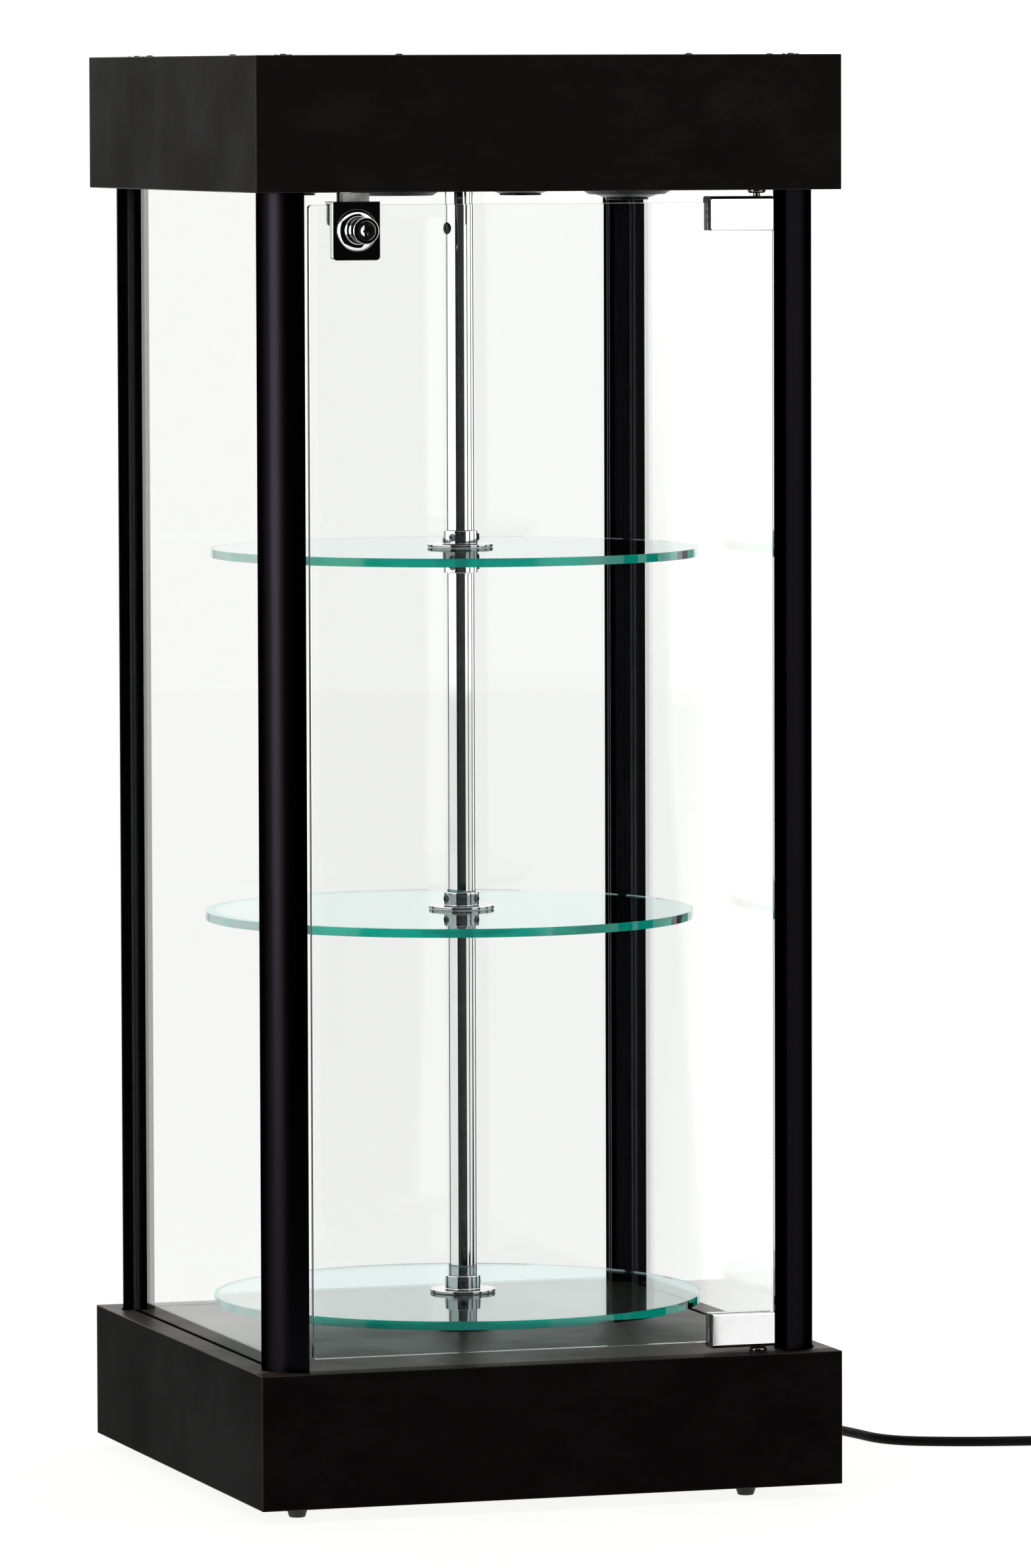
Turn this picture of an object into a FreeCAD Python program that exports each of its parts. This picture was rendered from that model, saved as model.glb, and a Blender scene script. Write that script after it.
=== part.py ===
"""Revolving glass display cabinet, one solid per physical piece.

Millimetres, Z up. The origin is on the turntable axis at floor level and the door faces -Y.
"""
import FreeCAD, Part
import math
import os

from FreeCAD import Placement, Rotation, Vector

# Cabinet
side = 420.0                 # width and depth of base and canopy
foot_height = 9.5
base_height = 93.0
glass_height = 804.5         # clear height between deck and ceiling
canopy_height = 93.0
board = 9.0                  # laminated boards of both boxes, mitred at every edge
bottom_board = 6.0
batten = 12.0                # square glue battens under the lid and over the bottom board
batten_end_gap = 51.0        # from the inner corner of the box to a batten's end
running_gap = 0.3            # between pieces that pass each other
press_gap = 0.05             # radial, between a hole and what is fitted into it

# Posts: quarter-round extrusions with two glass slots and a screw channel
post_inset = 10.5            # from the cabinet face to the round of the post
post_radius = 26.5
slot_width = 8.0
slot_depth = 6.0
post_edge_radius = 0.5
post_hole_margin = 1.2       # of the openings in deck and ceiling round a post
channel_bore = 4.2
channel_inset = 27.5         # from both cabinet faces to the screw channel

# Panes and door
pane_inset = 21.5            # from the cabinet face to the middle of the glass
pane_thickness = 5.0
pane_edge_gap = 1.5          # between a pane's upright edge and the bottom of its slot
groove_depth = 4.0           # of the grooves in deck and ceiling
door_post_gap = 5.7          # glass edge to the flat of the post
door_bottom_gap = 7.5        # deck to glass
door_top_gap = 8.5           # glass to ceiling
door_corner_radius = 2.5

# Pivot clips of the door
pivot_post_gap = 17.5        # pivot axis to the flat of the post
clip_post_gap = 7.5
clip_length = 45.5
clip_height = 19.6           # of the jaws, from the glass edge inwards
clip_front_jaw = 4.0
clip_rear_jaw = 5.5
clip_web = 3.8
clip_web_gap = 0.4           # glass edge to web
clip_round = 2.5
liner = 0.5
pressure_plate = 1.2
grub_tip_gap = 0.8           # pressure plate to rear jaw
grub_diameter = 4.0
pivot_pin_diameter = 5.0
pivot_clearance = 0.05
upper_flange_diameter = 12.4
upper_flange_height = 2.3
lower_flange_diameter = 12.2
lower_flange_height = 3.0
pivot_shank_length = 14.0

# Lock on the upper left corner of the door
lock_post_gap = 37.2         # lock axis to the flat of the post
lock_axis_below_ceiling = 25.8
lock_width = 34.0
lock_height = 40.0
lock_above_glass = 2.2
lock_corner_radius = 3.0
lock_body_depth = 7.5
lock_rear_jaw = 3.4
lock_rear_drop = 16.7        # of the rear jaw, from the top of the lock
rosette_diameter = 29.0
rosette_step_diameter = 22.0
rosette_depth = 4.0
barrel_diameter = 18.2
barrel_depth = 22.5
barrel_edge = 1.0
plug_diameter = 13.6
keyway_height = 11.2
keyway_width = 2.4
keyway_depth = 8.0
plug_recess_diameter = 7.0
plug_recess_depth = 0.8
bolt_width = 19.0
bolt_thickness = 4.7
bolt_height = 34.4
bolt_ceiling_gap = 0.4
bolt_travel = 5.5
bolt_clearance = 0.1
eccentric_pin_diameter = 2.4
window_side_clearance = 0.2
window_lift = 1.16           # lost motion between pin height and bolt height over the quarter turn
strike_margin = 1.4
strike_depth = 6.0
stop_pin_diameter = 3.0
stop_pin_drop = 10.0
stop_pin_offset = -6.7       # from the lock's middle

# Turntable
shaft_diameter = 20.0
shaft_bore = 17.0
shaft_below_deck = 23.5      # lower end of the shaft under the deck board
shaft_top_above_ceiling = 14.0
shelf_pane_gap = 16.0        # rim of a centred shelf to the side panes
shelf_thickness = 6.0
shelf_hole_diameter = 22.0
shelf_edge_chamfer = 0.8
hub_flange_diameter = 46.0
hub_flange_height = 2.5
hub_collar_diameter = 24.7
hub_height = 12.0
hub_rim_chamfer = 0.8
set_screw_diameter = 5.0
set_screw_proud = 1.0
# name: (top of the glass above the deck, sideways run-out of the rim, bearing of the first set screw)
shelves = {
    "shelf_lower": (25.8, -2.0, -108.0),
    "shelf_middle": (297.7, -7.0, -168.0),
    "shelf_upper": (552.7, -2.0, -134.0),
}
bush_body_diameter = 28.0
bush_flange_diameter = 40.0
bush_flange_height = 2.0
bush_lower_length = 14.0

# Drive under the deck
coupling_spigot_length = 18.0
coupling_flange_diameter = 26.0
coupling_flange_height = 5.0
motor_shaft_diameter = 7.0
motor_shaft_engagement = 12.0
motor_shaft_seat = 10.0      # of the output shaft in the gearbox
washer_thickness = 1.5
washer_bore = 15.0
bracket_sheet = 2.0
bracket_depth = 56.0
bracket_inner_width = 84.0
bracket_foot = 16.0
bracket_bend_radius = 3.0
bracket_screw_inset = 12.0   # from the edges of the sheet
motor_diameter = 60.0
motor_length = 28.0
motor_edge_chamfer = 2.0
gearbox_boss_diameter = 14.0
machine_screw_diameter = 4.0
machine_screw_head = 7.6
machine_screw_spacing = 44.0

# Downlights in the ceiling
lamp_side_inset = 125.0      # from the cabinet's left and right faces
lamp_depth_inset = 90.0      # from the cabinet's front and back faces
# (side, depth): how far the dark cup hangs under the ceiling, uneven as they were pushed in by hand
lamp_drops = {(-1, -1): 3.2, (1, -1): 7.0, (-1, 1): 5.5, (1, 1): 6.4}
trim_diameter = 63.0
trim_height = 3.5
lamp_hole_diameter = 56.0
lamp_sleeve_length = 26.0
lamp_sleeve_wall = 1.5
cup_rim_diameter = 46.0
cup_neck_diameter = 30.0
cup_taper_height = 2.6
cup_neck_height = 1.3
cup_top_above_ceiling = 22.0
cup_base_height = 4.0

# Transformer of the lamps
transformer_length = 78.0
transformer_width = 42.0
transformer_height = 26.0
transformer_back_gap = 52.0  # to the inside of the back board
transformer_edge_radius = 2.0

# Screws, bolts and feet
screw_diameter = 3.5
screw_head_diameter = 5.6
screw_head_height = 1.0
screw_length = 16.0
foot_screw_length = 10.0
screw_corner_gap = 106.0     # along each side, from the cabinet's corner
post_bolt_diameter = 4.0
post_bolt_head = 12.0
post_bolt_head_height = 2.0
post_bolt_length = 26.0
countersink_diameter = 8.0
countersink_depth = 2.4
foot_top_diameter = 17.0
foot_bottom_diameter = 11.0
foot_recess_diameter = 6.4
foot_recess_depth = 5.0
foot_left_inset = 35.0
foot_right_inset = 59.0
foot_depth_inset = 35.0      # from the front and back faces

# Mains cord
cord_diameter = 7.0
gland_inset = 60.0           # from the cabinet's right face
gland_height = 38.0          # of its axis above the floor
gland_reach = 11.5           # out of the back board
gland_flange_diameter = 18.0
gland_flange_height = 4.0
gland_tip_diameter = 10.0
gland_stem_diameter = 12.0
gland_nut_diameter = 18.0
gland_nut_height = 4.0
coil_centre = (548.0, -66.0)
coil_rings = 3
coil_layers = 2
coil_middle_radius = 38.0
coil_edge_chamfer = 2.0
plug_cord_gap = 20.0         # from the coil's topmost point to the plug's strain relief
relief_length = 26.0
relief_tip_diameter = 9.0
relief_root_diameter = 13.0
plug_body_length = 34.0
plug_body_width = 36.0
plug_end_width = 24.0
plug_body_corner = 5.0
plug_pin_diameter = 4.0
plug_pin_length = 19.0
plug_pin_spacing = 19.0

# Levels and planes that follow from the sizes above
half = side / 2
base_bottom = foot_height
deck_top = foot_height + base_height
deck_bottom = deck_top - board
ceiling_bottom = deck_top + glass_height
ceiling_top = ceiling_bottom + board
lid_top = ceiling_bottom + canopy_height
lid_bottom = lid_top - board
bottom_board_top = base_bottom + bottom_board
shaft_bottom = deck_bottom - shaft_below_deck
inner_half = half - board
post_corner = half - post_inset - post_radius
slot_bottom = post_corner + slot_depth
pane_plane = half - pane_inset
channel = half - channel_inset
door_front = -(pane_plane + pane_thickness / 2)
door_rear = -(pane_plane - pane_thickness / 2)
door_bottom = deck_top + door_bottom_gap
door_top = ceiling_bottom - door_top_gap
batten_middle = inner_half - batten / 2
batten_reach = inner_half - batten_end_gap
door_half_width = post_corner - door_post_gap
pivot_x = post_corner - pivot_post_gap
clip_right = post_corner - clip_post_gap
clip_left = clip_right - clip_length
lock_x = lock_post_gap - post_corner
shelf_radius = pane_plane - pane_thickness / 2 - shelf_pane_gap
lamp_x = half - lamp_side_inset
lamp_y = half - lamp_depth_inset
transformer_y = inner_half - transformer_back_gap - transformer_length / 2
screw_position = half - screw_corner_gap
foot_left_x = foot_left_inset - half
foot_right_x = half - foot_right_inset
foot_y = half - foot_depth_inset
gland_x = half - gland_inset
cord_radius = cord_diameter / 2
top_layer_height = cord_diameter * (coil_layers - 0.5)
coil_outer_turn = coil_middle_radius + cord_diameter * (coil_rings - 1) / 2
plug_start = (coil_centre[0] + plug_cord_gap, coil_centre[1] + coil_outer_turn)

# The free stretch of the cord, from the gland to the coil
cord_points = [
    (gland_x, half + gland_reach, gland_height),
    (gland_x, 252.0, gland_height),
    (155.0, 291.0, 23.0),
    (170.0, 331.0, 3.5),
    (207.0, 363.0, 3.5),
    (257.0, 367.0, 3.5),
    (301.0, 337.0, 3.5),
    (325.0, 288.0, 3.5),
    (328.0, 234.0, 3.5),
    (314.0, 180.0, 3.5),
    (304.0, 126.0, 3.5),
    (319.0, 76.0, 3.5),
    (328.0, 24.0, 3.5),
    (378.0, 0.0, 3.5),
    (432.0, -13.0, 3.5),
    (486.0, -20.5, 3.5),
    (534.0, -21.0, 3.5),
]


def box(low, high):
    """Upright box between two corners."""
    size = Vector(*high).sub(Vector(*low))
    return Part.makeBox(size.x, size.y, size.z, Vector(*low))


def rod(diameter, start, end):
    """Cylinder between two points."""
    run = Vector(*end).sub(Vector(*start))
    return Part.makeCylinder(diameter / 2, run.Length, Vector(*start), run)


def outline(corners, rounded=True):
    """Closed wire in the XY plane through (x, y, corner size), its corners rounded or cut off."""
    count = len(corners)
    entries = []
    arcs = []
    for index, (x, y, radius) in enumerate(corners):
        corner = Vector(x, y, 0)
        before = Vector(*corners[index - 1][:2], 0).sub(corner).normalize()
        after = Vector(*corners[(index + 1) % count][:2], 0).sub(corner).normalize()
        half_angle = before.getAngle(after) / 2
        setback = radius / math.tan(half_angle) if rounded else radius
        start = corner + before * setback
        end = corner + after * setback
        entries.append((start, end))
        if radius > 0 and not rounded:
            arcs.append(Part.LineSegment(start, end).toShape())
        elif radius > 0:
            inward = (before + after).normalize()
            middle = corner + inward * (radius / math.sin(half_angle) - radius)
            arcs.append(Part.Arc(start, middle, end).toShape())
        else:
            arcs.append(None)
    edges = []
    for index in range(count):
        if arcs[index]:
            edges.append(arcs[index])
        leave = entries[index][1]
        arrive = entries[(index + 1) % count][0]
        if leave.distanceToPoint(arrive) > 1e-6:
            edges.append(Part.LineSegment(leave, arrive).toShape())
    return Part.Wire(edges)


def extruded(corners, length):
    """Prism of an outline, from Z 0 upwards."""
    return Part.Face(outline(corners)).extrude(Vector(0, 0, length))


def extruded_x(corners, start, end):
    """Prism along X of an outline given as (y, z, radius)."""
    solid = extruded(corners, end - start)
    to_x = Rotation(Vector(0, 1, 0), Vector(0, 0, 1), Vector(1, 0, 0), "ZXY")
    solid.Placement = Placement(Vector(start, 0, 0), to_x)
    return solid


def extruded_y(corners, start, end):
    """Prism along Y of an outline given as (x, z, radius)."""
    solid = extruded(corners, end - start)
    solid.Placement = Placement(Vector(0, end, 0), Rotation(Vector(1, 0, 0), 90))
    return solid


def turned(corners, centre, direction=(0, 0, 1), rounded=False):
    """Solid of revolution of an outline given as (radius, height, corner size)."""
    profile = Part.Face(outline(corners, rounded))
    profile.rotate(Vector(), Vector(1, 0, 0), 90)
    solid = profile.revolve(Vector(), Vector(0, 0, 1), 360)
    solid.Placement = Placement(Vector(*centre), Rotation(Vector(0, 0, 1), Vector(*direction)))
    return solid


def frustum(lower_half, upper_half, low, high):
    """Square frustum on the cabinet axis."""
    wires = []
    for reach, level in ((lower_half, low), (upper_half, high)):
        corners = [
            Vector(-reach, -reach, level),
            Vector(reach, -reach, level),
            Vector(reach, reach, level),
            Vector(-reach, reach, level),
        ]
        wires.append(Part.makePolygon(corners + corners[:1]))
    return Part.makeLoft(wires, True, True)


def mirrored(shape, flip_x, flip_y):
    """Copy of a shape in another quadrant of the cabinet."""
    if flip_x:
        shape = shape.mirror(Vector(), Vector(1, 0, 0))
    if flip_y:
        shape = shape.mirror(Vector(), Vector(0, 1, 0))
    return shape


def four_ways(shape):
    """A shape of the rear right quadrant in all four quadrants."""
    return [mirrored(shape, flip_x, flip_y) for flip_x in (False, True) for flip_y in (False, True)]


def quarter_turns(shape):
    """A shape of the back side on all four sides."""
    copies = []
    for quarter in range(4):
        copy = shape.copy()
        copy.rotate(Vector(), Vector(0, 0, 1), 90 * quarter)
        copies.append(copy)
    return copies


def post_face(margin):
    """Quarter-round section of the rear right post, grown by a margin."""
    corner = post_corner - margin
    radius = post_radius + margin
    reach = post_corner + math.sqrt(radius ** 2 - margin ** 2)
    bulge = post_corner + radius * math.sqrt(0.5)
    edges = [
        Part.LineSegment(Vector(corner, corner, 0), Vector(reach, corner, 0)),
        Part.Arc(Vector(reach, corner, 0), Vector(bulge, bulge, 0), Vector(corner, reach, 0)),
        Part.LineSegment(Vector(corner, reach, 0), Vector(corner, corner, 0)),
    ]
    return Part.Face(Part.Wire([edge.toShape() for edge in edges]))


def post_holes(low, high):
    """Openings for the four posts through a horizontal board."""
    hole = post_face(post_hole_margin).extrude(Vector(0, 0, high - low))
    hole.translate(Vector(0, 0, low))
    return four_ways(hole)


def make_posts():
    """Four quarter-round posts from the bottom board to the lid."""
    length = lid_bottom - bottom_board_top
    post = post_face(0).extrude(Vector(0, 0, length))
    upright = [
        edge
        for edge in post.Edges
        if abs(edge.BoundBox.ZLength - length) < 1e-6 and edge.BoundBox.DiagonalLength < length + 1e-6
    ]
    post = post.makeFillet(post_edge_radius, upright)
    near = pane_plane - slot_width / 2
    far = pane_plane + slot_width / 2
    post = post.cut([
        box((near, post_corner - 1, -1), (far, slot_bottom, length + 1)),
        box((post_corner - 1, near, -1), (slot_bottom, far, length + 1)),
        rod(channel_bore, (channel, channel, -1), (channel, channel, length + 1)),
    ])
    post.translate(Vector(0, 0, bottom_board_top))
    return {
        "post_rear_right": post,
        "post_rear_left": mirrored(post, True, False),
        "post_front_right": mirrored(post, False, True),
        "post_front_left": mirrored(post, True, True),
    }


def pane_grooves(low, high):
    """Grooves for the left, right and back pane."""
    near = pane_plane - slot_width / 2
    far = pane_plane + slot_width / 2
    back = box((-post_corner, near, low), (post_corner, far, high))
    return [copy for index, copy in enumerate(quarter_turns(back)) if index != 2]


def side_boards(prefix, low, high, tiers, holes):
    """Four side boards, mitred to each other and to the horizontal boards in tiers."""
    corners = [(-half, half, 0), (-inner_half, inner_half, 0), (inner_half, inner_half, 0), (half, half, 0)]
    back = extruded(corners[::-1], high - low)
    back.translate(Vector(0, 0, low))
    boards = {}
    for name, copy in zip(("back", "left", "front", "right"), quarter_turns(back)):
        copy = copy.cut(tiers)
        boards[f"{prefix}_{name}_board"] = copy.cut(holes) if name == "back" and holes else copy
    return boards


def make_battens(level):
    """Glue battens along the inside of the four side boards."""
    near = inner_half - batten
    back = box((-batten_reach, near, level), (batten_reach, inner_half, level + batten))
    return quarter_turns(back)


def screw_positions():
    """Where a box's top or bottom board is screwed to its battens."""
    spots = []
    for along in (-screw_position, screw_position):
        spots.extend([(along, batten_middle), (-along, -batten_middle)])
        spots.extend([(batten_middle, along), (-batten_middle, -along)])
    return spots


def wood_screw(x, y, level, upwards, length=screw_length):
    """Round-headed screw whose head bears at a level."""
    corners = [
        (0, -screw_head_height, 0),
        (screw_head_diameter / 2, -screw_head_height, screw_head_height * 0.6),
        (screw_head_diameter / 2, 0, 0),
        (screw_diameter / 2, 0, 0),
        (screw_diameter / 2, length, 0),
        (0, length, 0),
    ]
    return turned(corners, (x, y, level), (0, 0, 1 if upwards else -1))


def screw_holes(level, upwards):
    """Holes for the wood screws through a board and into its battens."""
    run = screw_length + running_gap if upwards else -screw_length - running_gap
    size = screw_diameter + 2 * press_gap
    return [rod(size, (x, y, level), (x, y, level + run)) for x, y in screw_positions()]


def make_base():
    """Base box with its deck, bottom board, battens and feet."""
    deck = frustum(inner_half, half, deck_bottom, deck_top)
    screw_cuts = screw_holes(base_bottom, True)
    hub_hole = rod(bush_body_diameter + 2 * press_gap, (0, 0, deck_bottom), (0, 0, deck_top))
    pivot_hole = rod(
        pivot_pin_diameter + 2 * press_gap,
        (pivot_x, -pane_plane, deck_bottom),
        (pivot_x, -pane_plane, deck_top),
    )
    bracket_cuts = [
        rod(machine_screw_diameter + 2 * press_gap, (x, y, deck_bottom), (x, y, deck_bottom + board * 0.7))
        for x, y in bracket_screw_positions()
    ]
    gland_hole = rod(
        gland_stem_diameter + 2 * press_gap,
        (gland_x, inner_half - 1, gland_height),
        (gland_x, half + 1, gland_height),
    )
    pieces = side_boards("base", base_bottom, deck_top, [deck], [gland_hole])
    pieces["base_deck"] = deck.cut(
        post_holes(deck_bottom, deck_top)
        + pane_grooves(deck_top - groove_depth, deck_top)
        + bracket_cuts
        + [hub_hole, pivot_hole]
    )
    bottom = box((-inner_half, -inner_half, base_bottom), (inner_half, inner_half, bottom_board_top))
    sinks = []
    for x, y in foot_positions():
        sinks.append(rod(screw_diameter + 2 * press_gap, (x, y, base_bottom), (x, y, bottom_board_top)))
    pieces["base_bottom_board"] = bottom.cut(screw_cuts + sinks + four_ways(countersunk_bolt(press_gap)))
    pieces["base_battens"] = Part.makeCompound([
        strip.cut(screw_cuts) for strip in make_battens(bottom_board_top)
    ])
    pieces["base_feet"] = Part.makeCompound([make_foot(x, y) for x, y in foot_positions()])
    foot_screws = [wood_screw(x, y, foot_recess_depth, True, foot_screw_length) for x, y in foot_positions()]
    body_screws = [wood_screw(x, y, base_bottom, True) for x, y in screw_positions()]
    pieces["base_screws"] = Part.makeCompound(foot_screws + body_screws)
    return pieces


def foot_positions():
    """Centres of the four feet."""
    return [(x, y) for x in (foot_left_x, foot_right_x) for y in (-foot_y, foot_y)]


def make_foot(x, y):
    """Tapered foot with a recess for its screw."""
    corners = [
        (0, 0, 0),
        (foot_bottom_diameter / 2, 0, 1.0),
        (foot_top_diameter / 2, foot_height, 0),
        (0, foot_height, 0),
    ]
    foot = turned(corners, (x, y, 0))
    return foot.cut([
        rod(foot_recess_diameter, (x, y, -1), (x, y, foot_recess_depth)),
        rod(screw_diameter + 2 * press_gap, (x, y, 0), (x, y, foot_height + 1)),
    ])


def countersunk_bolt(margin):
    """Lower bolt of the rear right post, flush with the bottom board."""
    shank = post_bolt_diameter / 2 + margin
    head = countersink_diameter / 2 + margin
    corners = [
        (0, 0, 0),
        (head, 0, 0),
        (shank, countersink_depth, 0),
        (shank, post_bolt_length, 0),
        (0, post_bolt_length, 0),
    ]
    return turned(corners, (channel, channel, base_bottom))


def make_canopy():
    """Canopy box with its ceiling, lid, battens and screws."""
    ceiling = frustum(half, inner_half, ceiling_bottom, ceiling_top)
    lid = frustum(inner_half, half, lid_bottom, lid_top)
    screw_cuts = screw_holes(lid_top, False)
    pieces = side_boards("canopy", ceiling_bottom, lid_top, [ceiling, lid], [])
    lamp_hole = rod(
        lamp_hole_diameter,
        (lamp_x, lamp_y, ceiling_bottom - 1),
        (lamp_x, lamp_y, ceiling_top + 1),
    )
    hub_hole = rod(bush_body_diameter + 2 * press_gap, (0, 0, ceiling_bottom), (0, 0, ceiling_top))
    pivot_hole = rod(
        pivot_pin_diameter + 2 * press_gap,
        (pivot_x, -pane_plane, ceiling_bottom),
        (pivot_x, -pane_plane, ceiling_top),
    )
    stop_hole = rod(
        stop_pin_diameter + 2 * press_gap,
        (lock_x + stop_pin_offset, stop_pin_y, ceiling_bottom),
        (lock_x + stop_pin_offset, stop_pin_y, ceiling_bottom + board * 0.6),
    )
    strike_half = bolt_width / 2 + strike_margin
    strike = box(
        (lock_x - strike_half, bolt_front - strike_margin, ceiling_bottom - 1),
        (lock_x + strike_half, bolt_rear + strike_margin, ceiling_bottom + strike_depth),
    )
    pieces["canopy_ceiling"] = ceiling.cut(
        post_holes(ceiling_bottom, ceiling_top)
        + pane_grooves(ceiling_bottom, ceiling_bottom + groove_depth)
        + four_ways(lamp_hole)
        + [hub_hole, pivot_hole, stop_hole, strike]
    )
    bolt_hole = rod(
        post_bolt_diameter + 2 * press_gap,
        (channel, channel, lid_bottom),
        (channel, channel, lid_top),
    )
    pieces["canopy_lid"] = lid.cut(screw_cuts + four_ways(bolt_hole))
    pieces["canopy_battens"] = Part.makeCompound([
        strip.cut(screw_cuts) for strip in make_battens(lid_bottom - batten)
    ])
    pieces["lid_screws"] = Part.makeCompound([wood_screw(x, y, lid_top, False) for x, y in screw_positions()])
    head = [
        (0, -post_bolt_head_height, 0),
        (post_bolt_head / 2, -post_bolt_head_height, post_bolt_head_height * 0.6),
        (post_bolt_head / 2, 0, 0),
        (post_bolt_diameter / 2, 0, 0),
        (post_bolt_diameter / 2, post_bolt_length, 0),
        (0, post_bolt_length, 0),
    ]
    upper_bolt = turned(head, (channel, channel, lid_top), (0, 0, -1))
    pieces["post_bolts"] = Part.makeCompound(four_ways(upper_bolt) + four_ways(countersunk_bolt(0)))
    pieces["stop_pin"] = rod(
        stop_pin_diameter,
        (lock_x + stop_pin_offset, stop_pin_y, ceiling_bottom - stop_pin_drop),
        (lock_x + stop_pin_offset, stop_pin_y, ceiling_bottom + board * 0.6),
    )
    return pieces


def make_panes():
    """Three fixed panes and the rubber channels on their upright edges."""
    reach = slot_bottom - pane_edge_gap
    low = deck_top - groove_depth
    high = ceiling_bottom + groove_depth - running_gap
    near = pane_plane - pane_thickness / 2
    far = pane_plane + pane_thickness / 2
    back = box((-reach, near, low), (reach, far, high))
    names = ("back_pane", "left_pane", None, "right_pane")
    pieces = {name: copy for name, copy in zip(names, quarter_turns(back)) if name}

    seal_near = pane_plane - slot_width / 2 + press_gap
    seal_far = pane_plane + slot_width / 2 - press_gap
    seal = box((post_corner, seal_near, deck_top), (slot_bottom, seal_far, ceiling_bottom))
    seal = seal.cut(box((post_corner - 1, near, deck_top - 1), (reach, far, ceiling_bottom + 1)))
    pair = Part.makeCompound([seal, mirrored(seal, True, False)])
    seals = []
    for index, copy in enumerate(quarter_turns(pair)):
        if index != 2:
            seals.extend(copy.Solids)
    pieces["glazing_seals"] = Part.makeCompound(seals)
    return pieces


# Depths of the clip and lock jaws on the door glass
clip_front = door_front - liner - clip_front_jaw
clip_rear_inner = door_rear + liner + pressure_plate + grub_tip_gap
clip_rear = clip_rear_inner + clip_rear_jaw
lock_back = door_front - liner
lock_front = lock_back - lock_body_depth
lock_rear_inner = door_rear + liner + pressure_plate
lock_rear = lock_rear_inner + lock_rear_jaw
lock_top = door_top + lock_above_glass
lock_axis = ceiling_bottom - lock_axis_below_ceiling
bolt_middle = (lock_front + lock_back) / 2
bolt_front = bolt_middle - bolt_thickness / 2
bolt_rear = bolt_middle + bolt_thickness / 2
bolt_top = ceiling_bottom - bolt_ceiling_gap
bolt_bottom = bolt_top - bolt_height
stop_pin_y = lock_rear + running_gap + stop_pin_diameter / 2


def make_door_glass():
    """Door pane with rounded corners."""
    radius = door_corner_radius
    corners = [
        (-door_half_width, door_bottom, radius),
        (door_half_width, door_bottom, radius),
        (door_half_width, door_top, radius),
        (-door_half_width, door_top, radius),
    ]
    return extruded_y(corners, door_front, door_rear)


def grub(x, z, start, end):
    """Clamp screw across a rear jaw."""
    return rod(grub_diameter, (x, start, z), (x, end, z))


def make_clip(glass_edge, outward):
    """Pivot clip on the upper (outward 1) or lower (outward -1) edge of the door, with its small parts."""
    web_inner = glass_edge + outward * clip_web_gap
    web_outer = web_inner + outward * clip_web
    jaw_end = glass_edge - outward * clip_height
    corners = [
        (clip_front, jaw_end, clip_round / 2),
        (clip_front + clip_front_jaw, jaw_end, 0),
        (clip_front + clip_front_jaw, web_inner, 0),
        (clip_rear_inner, web_inner, 0),
        (clip_rear_inner, jaw_end, 0),
        (clip_rear, jaw_end, clip_round / 2),
        (clip_rear, web_outer, clip_round),
        (clip_front, web_outer, clip_round),
    ]
    body = extruded_x(corners, clip_left, clip_right)
    bore = rod(
        pivot_pin_diameter + 2 * pivot_clearance,
        (pivot_x, -pane_plane, web_inner - outward),
        (pivot_x, -pane_plane, web_outer + outward),
    )
    screw_level = glass_edge - outward * clip_height / 2
    quarter = (clip_right - clip_left) / 4
    spots = (clip_left + quarter, clip_right - quarter)
    holes = [
        rod(
            grub_diameter + 2 * press_gap,
            (x, clip_rear_inner - 0.1, screw_level),
            (x, clip_rear + 1, screw_level),
        )
        for x in spots
    ]
    body = body.cut(holes + [bore])

    low = min(glass_edge, jaw_end) + liner
    high = max(glass_edge, jaw_end) - liner
    left = clip_left + liner
    right = clip_right - liner
    liners = [
        box((left, door_front - liner, low), (right, door_front, high)),
        box((left, door_rear, low), (right, door_rear + liner, high)),
    ]
    plate_front = door_rear + liner
    plate = box((left, plate_front, low), (right, plate_front + pressure_plate, high))
    screws = [grub(x, screw_level, plate_front + pressure_plate, clip_rear - liner) for x in spots]
    return body, liners, plate, screws


def make_pivot(level, outward, diameter, height, glass_edge):
    """Flanged pivot pressed into deck or ceiling, with its pin in the clip's web."""
    tip = glass_edge + outward * (clip_web_gap + 0.2)
    pin_length = abs(level - tip)
    shank = min(pivot_shank_length, board - 1)
    corners = [
        (0, -shank, 0),
        (pivot_pin_diameter / 2, -shank, 0),
        (pivot_pin_diameter / 2, 0, 0),
        (diameter / 2, 0, 0.4),
        (diameter / 2, height, height * 0.45),
        (pivot_pin_diameter / 2, height, 0),
        (pivot_pin_diameter / 2, pin_length, 0.5),
        (0, pin_length, 0),
    ]
    return turned(corners, (pivot_x, -pane_plane, level), (0, 0, -outward))


def lock_prism(margin, low, high):
    """Block round the sliding bolt, grown by a margin."""
    reach = bolt_width / 2 + margin
    return box((lock_x - reach, bolt_front - margin, low), (lock_x + reach, bolt_rear + margin, high))


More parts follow.
